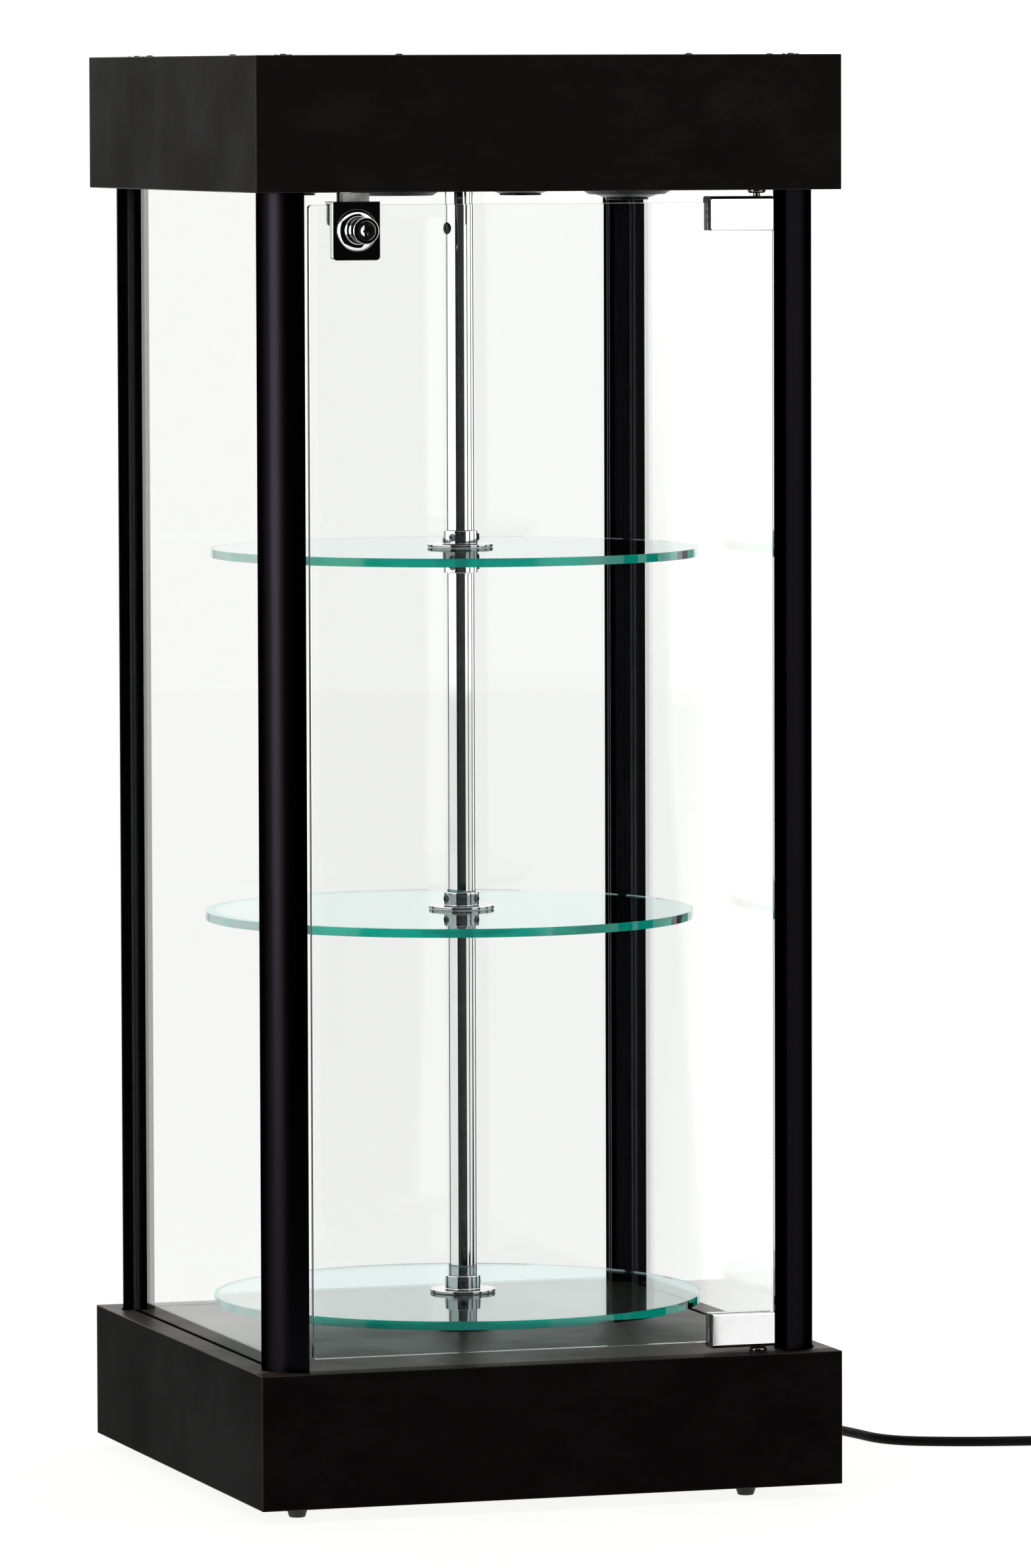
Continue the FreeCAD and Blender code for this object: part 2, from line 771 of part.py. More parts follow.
def make_lock_housing():
    """Clamp-on housing: body with rosette and barrel, web over the glass, rear jaw."""
    left = lock_x - lock_width / 2
    right = lock_x + lock_width / 2
    low = lock_top - lock_height
    radius = lock_corner_radius
    body = extruded_y(
        [(left, low, radius), (right, low, radius), (right, lock_top, 0), (left, lock_top, 0)],
        lock_front,
        lock_back,
    )
    jaw_low = lock_top - lock_rear_drop
    web = box((left, lock_back, door_top + clip_web_gap), (right, lock_rear, lock_top))
    jaw = extruded_y(
        [(left, jaw_low, radius), (right, jaw_low, radius), (right, lock_top, 0), (left, lock_top, 0)],
        lock_rear_inner,
        lock_rear,
    )
    barrel = barrel_diameter / 2
    corners = [
        (0, -1, 0),
        (rosette_diameter / 2, -1, 0),
        (rosette_diameter / 2, 0.4, 0),
        (rosette_step_diameter / 2 + 1.2, rosette_depth, 2.0),
        (barrel, rosette_depth, 0),
        (barrel, barrel_depth, barrel_edge),
        (0, barrel_depth, 0),
    ]
    rosette = turned(corners, (lock_x, lock_front, lock_axis), (0, -1, 0), rounded=True)
    housing = body.fuse([web, jaw, rosette]).removeSplitter()
    bore = rod(
        plug_diameter + 2 * press_gap,
        (lock_x, lock_front - barrel_depth - 1, lock_axis),
        (lock_x, bolt_front, lock_axis),
    )
    cavity = lock_prism(bolt_clearance, bolt_bottom - bolt_travel - running_gap, lock_top + 1)
    screw_level = (jaw_low + lock_top) / 2 - clip_web_gap
    hole = rod(
        grub_diameter + 2 * press_gap,
        (lock_x, lock_rear_inner - 0.1, screw_level),
        (lock_x, lock_rear + 1, screw_level),
    )
    return housing.cut([bore, cavity, hole])


def make_lock_clamp():
    """Liners, pressure plate and screw behind the lock's rear jaw."""
    left = lock_x - lock_width / 2 + liner
    right = lock_x + lock_width / 2 - liner
    low = lock_top - lock_rear_drop + liner
    high = door_top - liner
    front_low = lock_top - lock_height + lock_corner_radius
    liners = [
        box((left, door_front - liner, front_low), (right, door_front, high)),
        box((left, door_rear, low), (right, door_rear + liner, high)),
    ]
    plate_front = door_rear + liner
    plate = box((left, plate_front, low), (right, plate_front + pressure_plate, high))
    level = lock_top - lock_rear_drop / 2 - clip_web_gap
    screw = grub(lock_x, level, plate_front + pressure_plate, lock_rear - liner)
    return liners, plate, screw


def make_lock_plug():
    """Key plug with keyway and the eccentric pin that moves the bolt."""
    face = lock_front - barrel_depth + 0.2
    rear = bolt_front - running_gap
    plug = rod(plug_diameter, (lock_x, rear, lock_axis), (lock_x, face, lock_axis))
    pin = rod(
        eccentric_pin_diameter,
        (lock_x, rear - 1, lock_axis + bolt_travel),
        (lock_x, bolt_rear - running_gap, lock_axis + bolt_travel),
    )
    keyway = box(
        (lock_x - keyway_width / 2, face - 1, lock_axis - keyway_height / 2),
        (lock_x + keyway_width / 2, face + keyway_depth, lock_axis + keyway_height / 2),
    )
    recess = rod(
        plug_recess_diameter,
        (lock_x, face - 1, lock_axis),
        (lock_x, face + plug_recess_depth, lock_axis),
    )
    return plug.fuse(pin).removeSplitter().cut([keyway, recess])


def make_lock_bolt():
    """Sliding bolt with the window that the eccentric pin runs in."""
    reach = bolt_width / 2
    corners = [
        (lock_x - reach, bolt_bottom, 1.0),
        (lock_x + reach, bolt_bottom, 1.0),
        (lock_x + reach, bolt_top, 0.6),
        (lock_x - reach, bolt_top, 0.6),
    ]
    bolt = extruded_y(corners, bolt_front, bolt_rear)
    pin_reach = eccentric_pin_diameter / 2 + window_side_clearance
    low = lock_axis + bolt_travel - pin_reach
    high = lock_axis + bolt_travel + pin_reach + window_lift
    window = [
        (lock_x - pin_reach, low, 0),
        (lock_x + bolt_travel + pin_reach, low, 0),
        (lock_x + bolt_travel + pin_reach, high, 0),
        (lock_x - pin_reach, high, 0),
    ]
    return bolt.cut(extruded_y(window, bolt_front - 1, bolt_rear + 1))


def make_door():
    """Door glass with clips, lock and their small parts, and the pivots that carry it."""
    upper, upper_liners, upper_plate, upper_screws = make_clip(door_top, 1)
    lower, lower_liners, lower_plate, lower_screws = make_clip(door_bottom, -1)
    lock_liners, lock_plate, lock_screw = make_lock_clamp()
    return {
        "door_glass": make_door_glass(),
        "upper_clip": upper,
        "lower_clip": lower,
        "clamp_liners": Part.makeCompound(upper_liners + lower_liners + lock_liners),
        "pressure_plates": Part.makeCompound([upper_plate, lower_plate, lock_plate]),
        "clamp_screws": Part.makeCompound(upper_screws + lower_screws + [lock_screw]),
        "upper_pivot": make_pivot(ceiling_bottom, 1, upper_flange_diameter, upper_flange_height, door_top),
        "lower_pivot": make_pivot(deck_top, -1, lower_flange_diameter, lower_flange_height, door_bottom),
        "lock_housing": make_lock_housing(),
        "lock_plug": make_lock_plug(),
        "lock_bolt": make_lock_bolt(),
    }


def make_hub(level, upwards, first_screw):
    """Flanged shelf hub with three set screws, its flange on the glass at a level."""
    bore = shaft_diameter / 2 + press_gap
    flange = hub_flange_diameter / 2
    collar = hub_collar_diameter / 2
    corners = [
        (bore, 0, 0),
        (flange, 0, hub_rim_chamfer),
        (flange, hub_flange_height, hub_rim_chamfer),
        (collar, hub_flange_height, 0.5),
        (collar, hub_height, 0.6),
        (bore, hub_height, 0),
    ]
    turn = 1 if upwards else -1
    hub = turned(corners, (0, 0, level), (0, 0, turn))
    screw_level = level + turn * (hub_flange_height + hub_height) / 2
    screws = []
    holes = []
    for third in range(3):
        bearing = math.radians(first_screw + 120 * third)
        toward = Vector(math.cos(bearing), math.sin(bearing), 0)
        inner = Vector(0, 0, screw_level) + toward * (shaft_diameter / 2 + press_gap)
        proud = hub_collar_diameter / 2 + set_screw_proud
        outer = Vector(0, 0, screw_level) + toward * proud
        screws.append(rod(set_screw_diameter, inner, outer))
        holes.append(rod(set_screw_diameter + 2 * press_gap, toward * 5 + Vector(0, 0, screw_level), outer))
    return hub.cut(holes), screws


def make_turntable():
    """Shaft with three clamped glass shelves."""
    top = ceiling_bottom + shaft_top_above_ceiling
    shaft = rod(shaft_diameter, (0, 0, shaft_bottom), (0, 0, top))
    pieces = {"shaft": shaft.cut(rod(shaft_bore, (0, 0, shaft_bottom - 1), (0, 0, top - 3)))}
    hubs = []
    screws = []
    for name, (height, run_out, first_screw) in shelves.items():
        level = deck_top + height
        low = level - shelf_thickness
        corners = [
            (0, 0, 0),
            (shelf_radius, 0, shelf_edge_chamfer),
            (shelf_radius, shelf_thickness, shelf_edge_chamfer),
            (0, shelf_thickness, 0),
        ]
        disc = turned(corners, (run_out, 0, low))
        pieces[name] = disc.cut(rod(shelf_hole_diameter, (0, 0, low - 1), (0, 0, level + 1)))
        for flange_level, upwards in ((level, True), (low, False)):
            hub, hub_screws = make_hub(flange_level, upwards, first_screw)
            hubs.append(hub)
            screws.extend(hub_screws)
    pieces["shelf_hubs"] = Part.makeCompound(hubs)
    pieces["set_screws"] = Part.makeCompound(screws)
    return pieces


def make_bush(level, flange_upwards, length):
    """Flanged shaft bush seated on a board."""
    bore = shaft_diameter / 2 + press_gap
    body = bush_body_diameter / 2
    flange = bush_flange_diameter / 2
    corners = [
        (bore, -length, 0),
        (body, -length, 0.5),
        (body, 0, 0),
        (flange, 0, 0),
        (flange, bush_flange_height, 0.6),
        (bore, bush_flange_height, 0),
    ]
    return turned(corners, (0, 0, level), (0, 0, 1 if flange_upwards else -1))


# Levels of the drive, from the shaft downwards
coupling_seat = shaft_bottom
coupling_flange_low = coupling_seat - coupling_flange_height
bracket_web_top = coupling_flange_low - running_gap - washer_thickness
bracket_web_low = bracket_web_top - bracket_sheet
motor_top = bracket_web_low
motor_low = motor_top - motor_length


def bracket_screw_positions():
    """Screws of the motor bracket in the deck."""
    reach = bracket_inner_width / 2 + bracket_sheet + bracket_foot / 2
    spread = bracket_depth / 2 - bracket_screw_inset
    return [(x, y) for x in (-reach, reach) for y in (-spread, spread)]


def machine_screw(x, y, level, upwards, length):
    """Cheese-headed screw whose head bears at a level."""
    height = machine_screw_diameter * 0.6
    corners = [
        (0, -height, 0),
        (machine_screw_head / 2, -height, 0.5),
        (machine_screw_head / 2, 0, 0),
        (machine_screw_diameter / 2, 0, 0),
        (machine_screw_diameter / 2, length, 0),
        (0, length, 0),
    ]
    return turned(corners, (x, y, level), (0, 0, 1 if upwards else -1))


def make_drive():
    """Bushes, coupling, geared motor and its folded bracket."""
    spigot = shaft_bore / 2 - press_gap
    flange = coupling_flange_diameter / 2
    motor_shaft_hole = motor_shaft_diameter / 2 + press_gap
    hole_depth = motor_shaft_engagement + 1
    coupling = turned(
        [
            (motor_shaft_hole, coupling_flange_low, 0),
            (flange, coupling_flange_low, 0),
            (flange, coupling_seat, 0.5),
            (spigot, coupling_seat, 0),
            (spigot, coupling_seat + coupling_spigot_length, 1.0),
            (0, coupling_seat + coupling_spigot_length, 0),
            (0, coupling_flange_low + hole_depth, 0),
            (motor_shaft_hole, coupling_flange_low + hole_depth, 0),
        ],
        (0, 0, 0),
    )
    washer = turned(
        [
            (washer_bore / 2, bracket_web_top, 0),
            (coupling_flange_diameter / 2, bracket_web_top, 0),
            (coupling_flange_diameter / 2, bracket_web_top + washer_thickness, 0),
            (washer_bore / 2, bracket_web_top + washer_thickness, 0),
        ],
        (0, 0, 0),
    )
    motor_shaft = rod(
        motor_shaft_diameter,
        (0, 0, motor_top - motor_shaft_seat),
        (0, 0, coupling_flange_low + motor_shaft_engagement),
    )

    inner = bracket_inner_width / 2
    outer = inner + bracket_sheet
    foot = outer + bracket_foot
    bend = bracket_bend_radius
    right = [
        (inner, bracket_web_top, bend - bracket_sheet),
        (inner, deck_bottom, 0),
        (foot, deck_bottom, 0),
        (foot, deck_bottom - bracket_sheet, 0),
        (outer, deck_bottom - bracket_sheet, bend - bracket_sheet),
        (outer, bracket_web_low, bend),
    ]
    left = [(-x, z, radius) for x, z, radius in reversed(right)]
    bracket = extruded_y(right + left, -bracket_depth / 2, bracket_depth / 2)
    motor_spots = [(0, -machine_screw_spacing / 2), (0, machine_screw_spacing / 2)]
    hole = machine_screw_diameter + 2 * press_gap
    hole_start = bracket_web_low - 1
    holes = [
        rod(hole, (x, y, hole_start), (x, y, deck_bottom + 1)) for x, y in bracket_screw_positions()
    ]
    holes += [rod(hole, (x, y, hole_start), (x, y, bracket_web_top + 1)) for x, y in motor_spots]
    holes.append(rod(washer_bore, (0, 0, bracket_web_low - 1), (0, 0, bracket_web_top + 1)))
    bracket = bracket.cut(holes)

    radius = motor_diameter / 2
    boss = gearbox_boss_diameter / 2
    sink = motor_shaft_diameter / 2 + running_gap
    motor = turned(
        [
            (0, motor_low, 0),
            (radius, motor_low, motor_edge_chamfer),
            (radius, motor_top, motor_edge_chamfer),
            (boss, motor_top, 0),
            (boss, motor_top + bracket_sheet, 0),
            (sink, motor_top + bracket_sheet, 0),
            (sink, motor_top - motor_shaft_seat - running_gap, 0),
            (0, motor_top - motor_shaft_seat - running_gap, 0),
        ],
        (0, 0, 0),
    )
    screw_depth = 8.0
    motor = motor.cut([
        rod(hole, (x, y, motor_top - screw_depth), (x, y, motor_top + 1)) for x, y in motor_spots
    ])
    screws = [
        machine_screw(x, y, bracket_web_top, False, bracket_sheet + screw_depth - running_gap)
        for x, y in motor_spots
    ]
    screws += [
        machine_screw(x, y, deck_bottom - bracket_sheet, True, bracket_sheet + board * 0.6)
        for x, y in bracket_screw_positions()
    ]
    return {
        "lower_bush": make_bush(deck_top, True, bush_lower_length),
        "upper_bush": make_bush(ceiling_top, True, board),
        "drive_coupling": coupling,
        "thrust_washer": washer,
        "motor_output_shaft": motor_shaft,
        "motor_bracket": bracket,
        "gear_motor": motor,
        "motor_screws": Part.makeCompound(screws),
    }


def make_lamps():
    """Four downlights: trim ring with sleeve, and the dark cup that hangs in it."""
    rim = trim_diameter / 2
    sleeve = lamp_hole_diameter / 2 - running_gap
    bore = sleeve - lamp_sleeve_wall
    trim_profile = [
        (bore, -trim_height, 0.8),
        (rim, 0, 0.6),
        (sleeve, 0, 0),
        (sleeve, lamp_sleeve_length, 0),
        (bore, lamp_sleeve_length, 0),
    ]
    trims = []
    cups = []
    for (sign_x, sign_y), drop in lamp_drops.items():
        centre = (sign_x * lamp_x, sign_y * lamp_y, ceiling_bottom)
        trims.append(turned(trim_profile, centre))
        rim_radius = cup_rim_diameter / 2
        neck = cup_neck_diameter / 2
        cup_profile = [
            (0, -drop, 0),
            (neck, -drop, 0.4),
            (neck, cup_neck_height - drop, 0),
            (rim_radius, cup_neck_height + cup_taper_height - drop, 0),
            (rim_radius, cup_top_above_ceiling - cup_base_height, 0),
            (bore - press_gap, cup_top_above_ceiling - cup_base_height, 0),
            (bore - press_gap, cup_top_above_ceiling, 0),
            (0, cup_top_above_ceiling, 0),
        ]
        cups.append(turned(cup_profile, centre))
    transformer = box(
        (-transformer_width / 2, transformer_y - transformer_length / 2, ceiling_top),
        (transformer_width / 2, transformer_y + transformer_length / 2, ceiling_top + transformer_height),
    )
    upper_edges = [edge for edge in transformer.Edges if edge.BoundBox.ZMin > ceiling_top]
    return {
        "lamp_trims": Part.makeCompound(trims),
        "lamp_cups": Part.makeCompound(cups),
        "transformer": transformer.makeFillet(transformer_edge_radius, upper_edges),
    }


def cord_path():
    """Straight runs joined by tangent arcs through the cord's points."""
    points = [Vector(*point) for point in cord_points]
    edges = []
    radii = []
    start = points[0]
    for before, corner, after in zip(points, points[1:], points[2:]):
        back = before.sub(corner)
        ahead = after.sub(corner)
        half_turn = (math.pi - back.getAngle(ahead)) / 2
        setback = 0.45 * min(back.Length, ahead.Length)
        radius = setback / math.tan(half_turn)
        radii.append(radius)
        back.normalize()
        ahead.normalize()
        arc_start = corner + back * setback
        arc_end = corner + ahead * setback
        inward = (back + ahead).normalize()
        middle = corner + inward * (radius / math.cos(half_turn) - radius)
        edges.append(Part.LineSegment(start, arc_start).toShape())
        edges.append(Part.Arc(arc_start, middle, arc_end).toShape())
        start = arc_end
    edges.append(Part.LineSegment(start, points[-1]).toShape())
    return Part.Wire(edges), radii


def make_cord():
    """Gland, free cord, coil and plug."""
    path, radii = cord_path()
    first = Vector(*cord_points[0])
    direction = Vector(*cord_points[1]).sub(first)
    section = Part.Wire(Part.makeCircle(cord_radius, first, direction))
    tube = path.makePipeShell([section], True, False)
    expected = math.pi * cord_radius ** 2 * path.Length
    print("cord bend radii", [round(radius) for radius in radii])
    print("cord run length", round(path.Length))
    print("tube volume over section times length", tube.Volume / expected)

    coil_inner = coil_middle_radius - coil_rings * cord_radius
    coil_outer = coil_middle_radius + coil_rings * cord_radius
    coil_height = coil_layers * cord_diameter
    coil = turned(
        [
            (coil_inner, 0, coil_edge_chamfer),
            (coil_outer, 0, coil_edge_chamfer),
            (coil_outer, coil_height, coil_edge_chamfer),
            (coil_inner, coil_height, coil_edge_chamfer),
        ],
        (coil_centre[0], coil_centre[1], 0),
    )
    turns = [coil_middle_radius + cord_diameter * (ring - (coil_rings - 1) / 2) for ring in range(coil_rings)]
    coil_length = coil_layers * sum(2 * math.pi * radius for radius in turns)
    print("cord length", round(path.Length + coil_length + plug_cord_gap))

    gland_base = (gland_x, half, gland_height)
    gland_outside = turned(
        [
            (0, 0, 0),
            (gland_flange_diameter / 2, 0, 0),
            (gland_flange_diameter / 2, gland_flange_height, 1.0),
            (gland_tip_diameter / 2 + 1, gland_flange_height, 0),
            (gland_tip_diameter / 2, gland_reach, 0.5),
            (0, gland_reach, 0),
        ],
        gland_base,
        (0, 1, 0),
    )
    stem_length = board + gland_nut_height + 2
    gland_inside = turned(
        [
            (0, 0, 0),
            (gland_stem_diameter / 2, 0, 0),
            (gland_stem_diameter / 2, board, 0),
            (gland_nut_diameter / 2, board, 0),
            (gland_nut_diameter / 2, board + gland_nut_height, 0.8),
            (gland_stem_diameter / 2, board + gland_nut_height, 0),
            (gland_stem_diameter / 2, stem_length, 0.5),
            (0, stem_length, 0),
        ],
        gland_base,
        (0, -1, 0),
    )

    start_x, start_y = plug_start
    relief = turned(
        [
            (0, 0, 0),
            (relief_tip_diameter / 2, 0, 0.6),
            (relief_root_diameter / 2, relief_length, 0),
            (0, relief_length, 0),
        ],
        (start_x, start_y, top_layer_height),
        (1, 0, 0),
    )
    body_start = start_x + relief_length
    body_end = body_start + plug_body_length
    corner = plug_body_corner
    body = extruded(
        [
            (body_start, start_y - plug_end_width / 2, corner),
            (body_end, start_y - plug_body_width / 2, corner),
            (body_end, start_y + plug_body_width / 2, corner),
            (body_start, start_y + plug_end_width / 2, corner),
        ],
        2 * top_layer_height,
    )
    body = body.makeChamfer(2.0, [edge for edge in body.Edges if edge.BoundBox.ZLength < 1e-6])
    pins = [
        rod(
            plug_pin_diameter,
            (body_end, start_y + side_sign * plug_pin_spacing / 2, top_layer_height),
            (body_end + plug_pin_length, start_y + side_sign * plug_pin_spacing / 2, top_layer_height),
        )
        for side_sign in (-1, 1)
    ]
    return {
        "cord_gland": gland_outside.fuse(gland_inside).removeSplitter(),
        "cord_run": tube,
        "cord_coil": coil,
        "plug_body": body.fuse(relief).removeSplitter(),
        "plug_pins": Part.makeCompound(pins),
    }


def main():
    """Build every piece and write one STEP file for each."""
    pieces = {}
    for make in (make_base, make_canopy, make_posts, make_panes, make_door, make_turntable, make_drive):
        pieces.update(make())
    pieces.update(make_lamps())
    pieces.update(make_cord())
    os.makedirs("parts", exist_ok=True)
    for name, shape in pieces.items():
        if not shape.isValid():
            raise ValueError(f"{name} is not a valid shape")
        shape.exportStep(f"parts/{name}.step")
    print(len(pieces), "pieces written")


main()
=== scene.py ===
"""Looks of a revolving glass display cabinet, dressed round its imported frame. Metres, Z up."""
import math
import bmesh
import bpy
from bpy.props import FloatProperty, FloatVectorProperty, IntProperty, PointerProperty
from mathutils import Matrix, Vector


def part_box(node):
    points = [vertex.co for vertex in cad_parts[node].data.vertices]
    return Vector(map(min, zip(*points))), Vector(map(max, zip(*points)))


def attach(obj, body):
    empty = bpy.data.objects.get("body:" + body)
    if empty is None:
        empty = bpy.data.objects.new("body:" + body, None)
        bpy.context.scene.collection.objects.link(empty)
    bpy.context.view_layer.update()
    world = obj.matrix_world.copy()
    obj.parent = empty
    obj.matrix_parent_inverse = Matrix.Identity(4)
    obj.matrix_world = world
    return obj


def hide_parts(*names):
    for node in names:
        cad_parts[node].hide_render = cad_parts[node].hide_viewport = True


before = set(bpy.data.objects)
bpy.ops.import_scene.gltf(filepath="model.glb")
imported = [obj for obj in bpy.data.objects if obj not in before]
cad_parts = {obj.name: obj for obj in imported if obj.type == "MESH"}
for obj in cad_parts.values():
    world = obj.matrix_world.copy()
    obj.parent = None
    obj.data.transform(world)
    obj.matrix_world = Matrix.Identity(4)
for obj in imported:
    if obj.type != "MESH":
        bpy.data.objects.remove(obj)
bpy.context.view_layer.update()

bl_info = {
    "name": "Revolving display cabinet",
    "version": (1, 0),
    "blender": (4, 5, 0),
    "location": "View3D > Sidebar > Cabinet",
    "description": "Dresses the packed frame of a revolving glass display cabinet",
    "category": "Object",
}

UPRIGHT = Matrix.Identity(4)
DOWNWARDS = Matrix.Rotation(math.pi, 4, "X")
TO_FRONT = Matrix.Rotation(math.pi / 2, 4, "X")
TO_BACK = Matrix.Rotation(-math.pi / 2, 4, "X")
TO_RIGHT = Matrix.Rotation(math.pi / 2, 4, "Y")

OVERCUT = 0.001  # how far a cutting tool stands out of what it cuts
BOARD = 0.009  # thickness of the boards
POST_GAP = 0.0012  # round a post where it enters a board
GROOVE = 0.004  # depth of a pane's groove in a board, and half its width
SLOT = 0.006  # depth of a pane's slot in a post
STRIKE_GAP = 0.0014  # round the lock's bolt in its strike slot
STRIKE_DEPTH = 0.006
STOP_DEPTH = 0.0054  # of the stop pin's hole
POST_BOLT = 0.1825  # from both middle planes of the cabinet
LEDGE_END = -0.1935  # where the deck's strip in front of the door ends; the strip in front is painted darker (painted shade), the deck behind it lighter (painted sheen)

# Radii
SHAFT = 0.010
RUNNING_BORE = 0.01005  # of hubs and bushes round the shaft
BUSH_HOLE = 0.01405
PIVOT_HOLE = 0.00255
CLAMP_HOLE = 0.00205
STOP_HOLE = 0.00155
GLAND_HOLE = 0.00605
CHANNEL = 0.0021  # of the bolt channel in a post
LAMP_RIM = 0.0315
LAMP_HOLE = 0.028
FOOT = 0.0085

WHITE = (1.0, 1.0, 1.0)
PALE = (1.0, 0.998, 0.985)
BACKWARDS = (0.0, 1.0, 0.0)


def length(name, description, default):
    """Property for a size of the cabinet."""
    return FloatProperty(
        name=name, description=description, default=default, min=0.0, precision=5, unit="LENGTH"
    )


def colour(name, description, default):
    """Property for a colour, in linear values."""
    return FloatVectorProperty(
        name=name, description=description, default=default, min=0.0, max=1.0, size=3, subtype="COLOR"
    )


class CabinetSizes(bpy.types.PropertyGroup):
    """Edge roundings and small sizes that the frame leaves plain."""

    board_edge: length("Board edge", "Rounding of the laminate boards' outer edges", 0.0006)
    post_edge: length("Post edge", "Rounding along the posts", 0.0005)
    glass_arris: length("Glass arris", "Ground arris round the panes", 0.0005)
    shelf_arris: length("Shelf arris", "Rounding of the shelf rims", 0.0009)
    fitting_edge: length("Fitting edge", "Rounding of the cast fittings' edges", 0.0004)
    relief_length: length("Strain relief", "Tapered boot on the cord, from the gland outwards", 0.026)
    relief_rings: IntProperty(name="Relief rings", description="Ribs on the tapered boot", default=6, min=2)
    socket_width: length("Screw socket", "Hexagon socket of the set screws", 0.0025)


class CabinetColours(bpy.types.PropertyGroup):
    """Colours of the cabinet's materials."""

    laminate: colour("Laminate", "Satin boards of base and canopy", (0.0050, 0.0043, 0.0042))
    # The deck is the base's own black laminate; this lighter, warmer colour is painted sheen of its grazing
    # reflection.
    deck: colour("Deck", "Top of the base inside the glass", (0.033, 0.027, 0.0225))
    anodised: colour("Anodised posts", "Quarter-round aluminium posts", (0.0072, 0.0065, 0.0080))
    glass: colour("Glass", "What 100 mm of pane glass lets through", (0.80, 0.90, 0.84))
    shelf_glass: colour("Shelf glass", "What 100 mm of shelf glass lets through", (0.10, 0.62, 0.56))
    chrome: colour("Chrome", "Shaft, hubs, clips and lock", (0.88, 0.885, 0.89))
    zinc: colour("Zinc", "Cast lock bolt", (0.88, 0.88, 0.87))
    rubber: colour("Rubber", "Feet and glazing channels", (0.010, 0.010, 0.011))
    timber: colour("Timber", "Bare board and battens inside the boxes", (0.42, 0.29, 0.17))


def sizes():
    """Sizes that the scene holds."""
    return bpy.context.scene.cabinet_sizes


def colours():
    """Colours that the scene holds."""
    return bpy.context.scene.cabinet_colours


# Meshes

def centre(node):
    """Middle of a CAD node's box."""
    low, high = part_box(node)
    return (low + high) / 2


def block(low, high):
    """Upright block between two corners."""
    mesh = bmesh.new()
    low, high = Vector(low), Vector(high)
    verts = bmesh.ops.create_cube(mesh, size=1.0)["verts"]
    bmesh.ops.scale(mesh, vec=high - low, verts=verts)
    bmesh.ops.translate(mesh, vec=(low + high) / 2, verts=verts)
    return mesh


def turned(profile, place=UPRIGHT, steps=72):
    """Solid turned from (radius, height) points of its half section, round the Z axis of a place."""
    mesh = bmesh.new()
    points = [mesh.verts.new((radius, 0.0, height)) for radius, height in profile]
    edges = []
    for first, second in zip(points, points[1:] + points[:1]):
        if first.co.x > 0 or second.co.x > 0:
            edges.append(mesh.edges.new((first, second)))
    bmesh.ops.spin(
        mesh, geom=points + edges, cent=(0, 0, 0), axis=(0, 0, 1), angle=math.tau, steps=steps,
        use_merge=True,
    )
    bmesh.ops.remove_doubles(mesh, verts=mesh.verts, dist=1e-7)
    bmesh.ops.dissolve_degenerate(mesh, dist=1e-7, edges=mesh.edges)
    bmesh.ops.recalc_face_normals(mesh, faces=mesh.faces)
    mesh.transform(place)
    return mesh


def rod(radius, start, end, sides=48):
    """Round bar between two points."""
    start, end = Vector(start), Vector(end)
    run = end - start
    mesh = bmesh.new()
    bmesh.ops.create_cone(
        mesh, cap_ends=True, segments=sides, radius1=radius, radius2=radius, depth=run.length
    )
    mesh.transform(Matrix.Translation((start + end) / 2) @ facing(run))
    return mesh


def facing(direction):
    """Turn that lays the Z axis along a direction."""
    return direction.to_track_quat("Z", "Y").to_matrix().to_4x4()


def hole(radius, x, y, low, high, sides=32):
    """Cutting tool for an upright round hole right through two levels."""
    return rod(radius, (x, y, low - OVERCUT), (x, y, high + OVERCUT), sides)


def prism(corners, depth, place=UPRIGHT, steps=6):
    """Prism of an outline given as (x, y, corner radius), along the Z axis of a place."""
    mesh = bmesh.new()
    face = mesh.faces.new([mesh.verts.new((x, y, 0.0)) for x, y, radius in corners])
    raised = bmesh.ops.extrude_face_region(mesh, geom=[face])["geom"]
    top = [part for part in raised if isinstance(part, bmesh.types.BMVert)]
    bmesh.ops.translate(mesh, vec=(0, 0, depth), verts=top)
    bmesh.ops.recalc_face_normals(mesh, faces=mesh.faces)
    for wanted in sorted({radius for x, y, radius in corners if radius > 0}):
        spots = [Vector((x, y)) for x, y, radius in corners if radius == wanted]
        edges = []
        for edge in mesh.edges:
            first, second = (vert.co.xy for vert in edge.verts)
            if (first - second).length < 1e-9 and any((first - spot).length < 1e-7 for spot in spots):
                edges.append(edge)
        rounded(mesh, edges, wanted, steps)
    mesh.transform(place)
    mesh.normal_update()
    return mesh


def rounded(mesh, edges, radius, steps):
    """Rounds chosen edges to a radius."""
    bmesh.ops.bevel(mesh, geom=edges, offset=radius, segments=steps, profile=0.5, affect="EDGES", material=-1)
    return mesh


def across(start):
    """Place of a prism whose outline is (y, z) and whose depth runs along X."""
    return Matrix(((0, 0, 1, start), (1, 0, 0, 0), (0, 1, 0, 0), (0, 0, 0, 1)))


def plate_outline(low, high, lower_radius, upper_radius):
    """Outline of an upright plate, seen from the front."""
    return [
        (low.x, low.z, lower_radius), (high.x, low.z, lower_radius),
        (high.x, high.z, upper_radius), (low.x, high.z, upper_radius),
    ]


def into_front(end):
    """Place of a prism whose outline is (x, z) and whose depth runs from a plane towards the front."""
    return Matrix(((1, 0, 0, 0), (0, 0, -1, end), (0, 1, 0, 0), (0, 0, 0, 1)))


def softened(mesh, width, steps=2, sharper_than=30.0):
    """Rounds each edge at which the faces turn by more than an angle."""
    limit = math.radians(sharper_than)
    mesh.normal_update()
    edges = [edge for edge in mesh.edges if edge.is_manifold and edge.calc_face_angle() > limit]
    bmesh.ops.bevel(
        mesh, geom=edges, offset=width, segments=steps, profile=0.5, affect="EDGES", material=-1,
        clamp_overlap=True,
    )
    return mesh


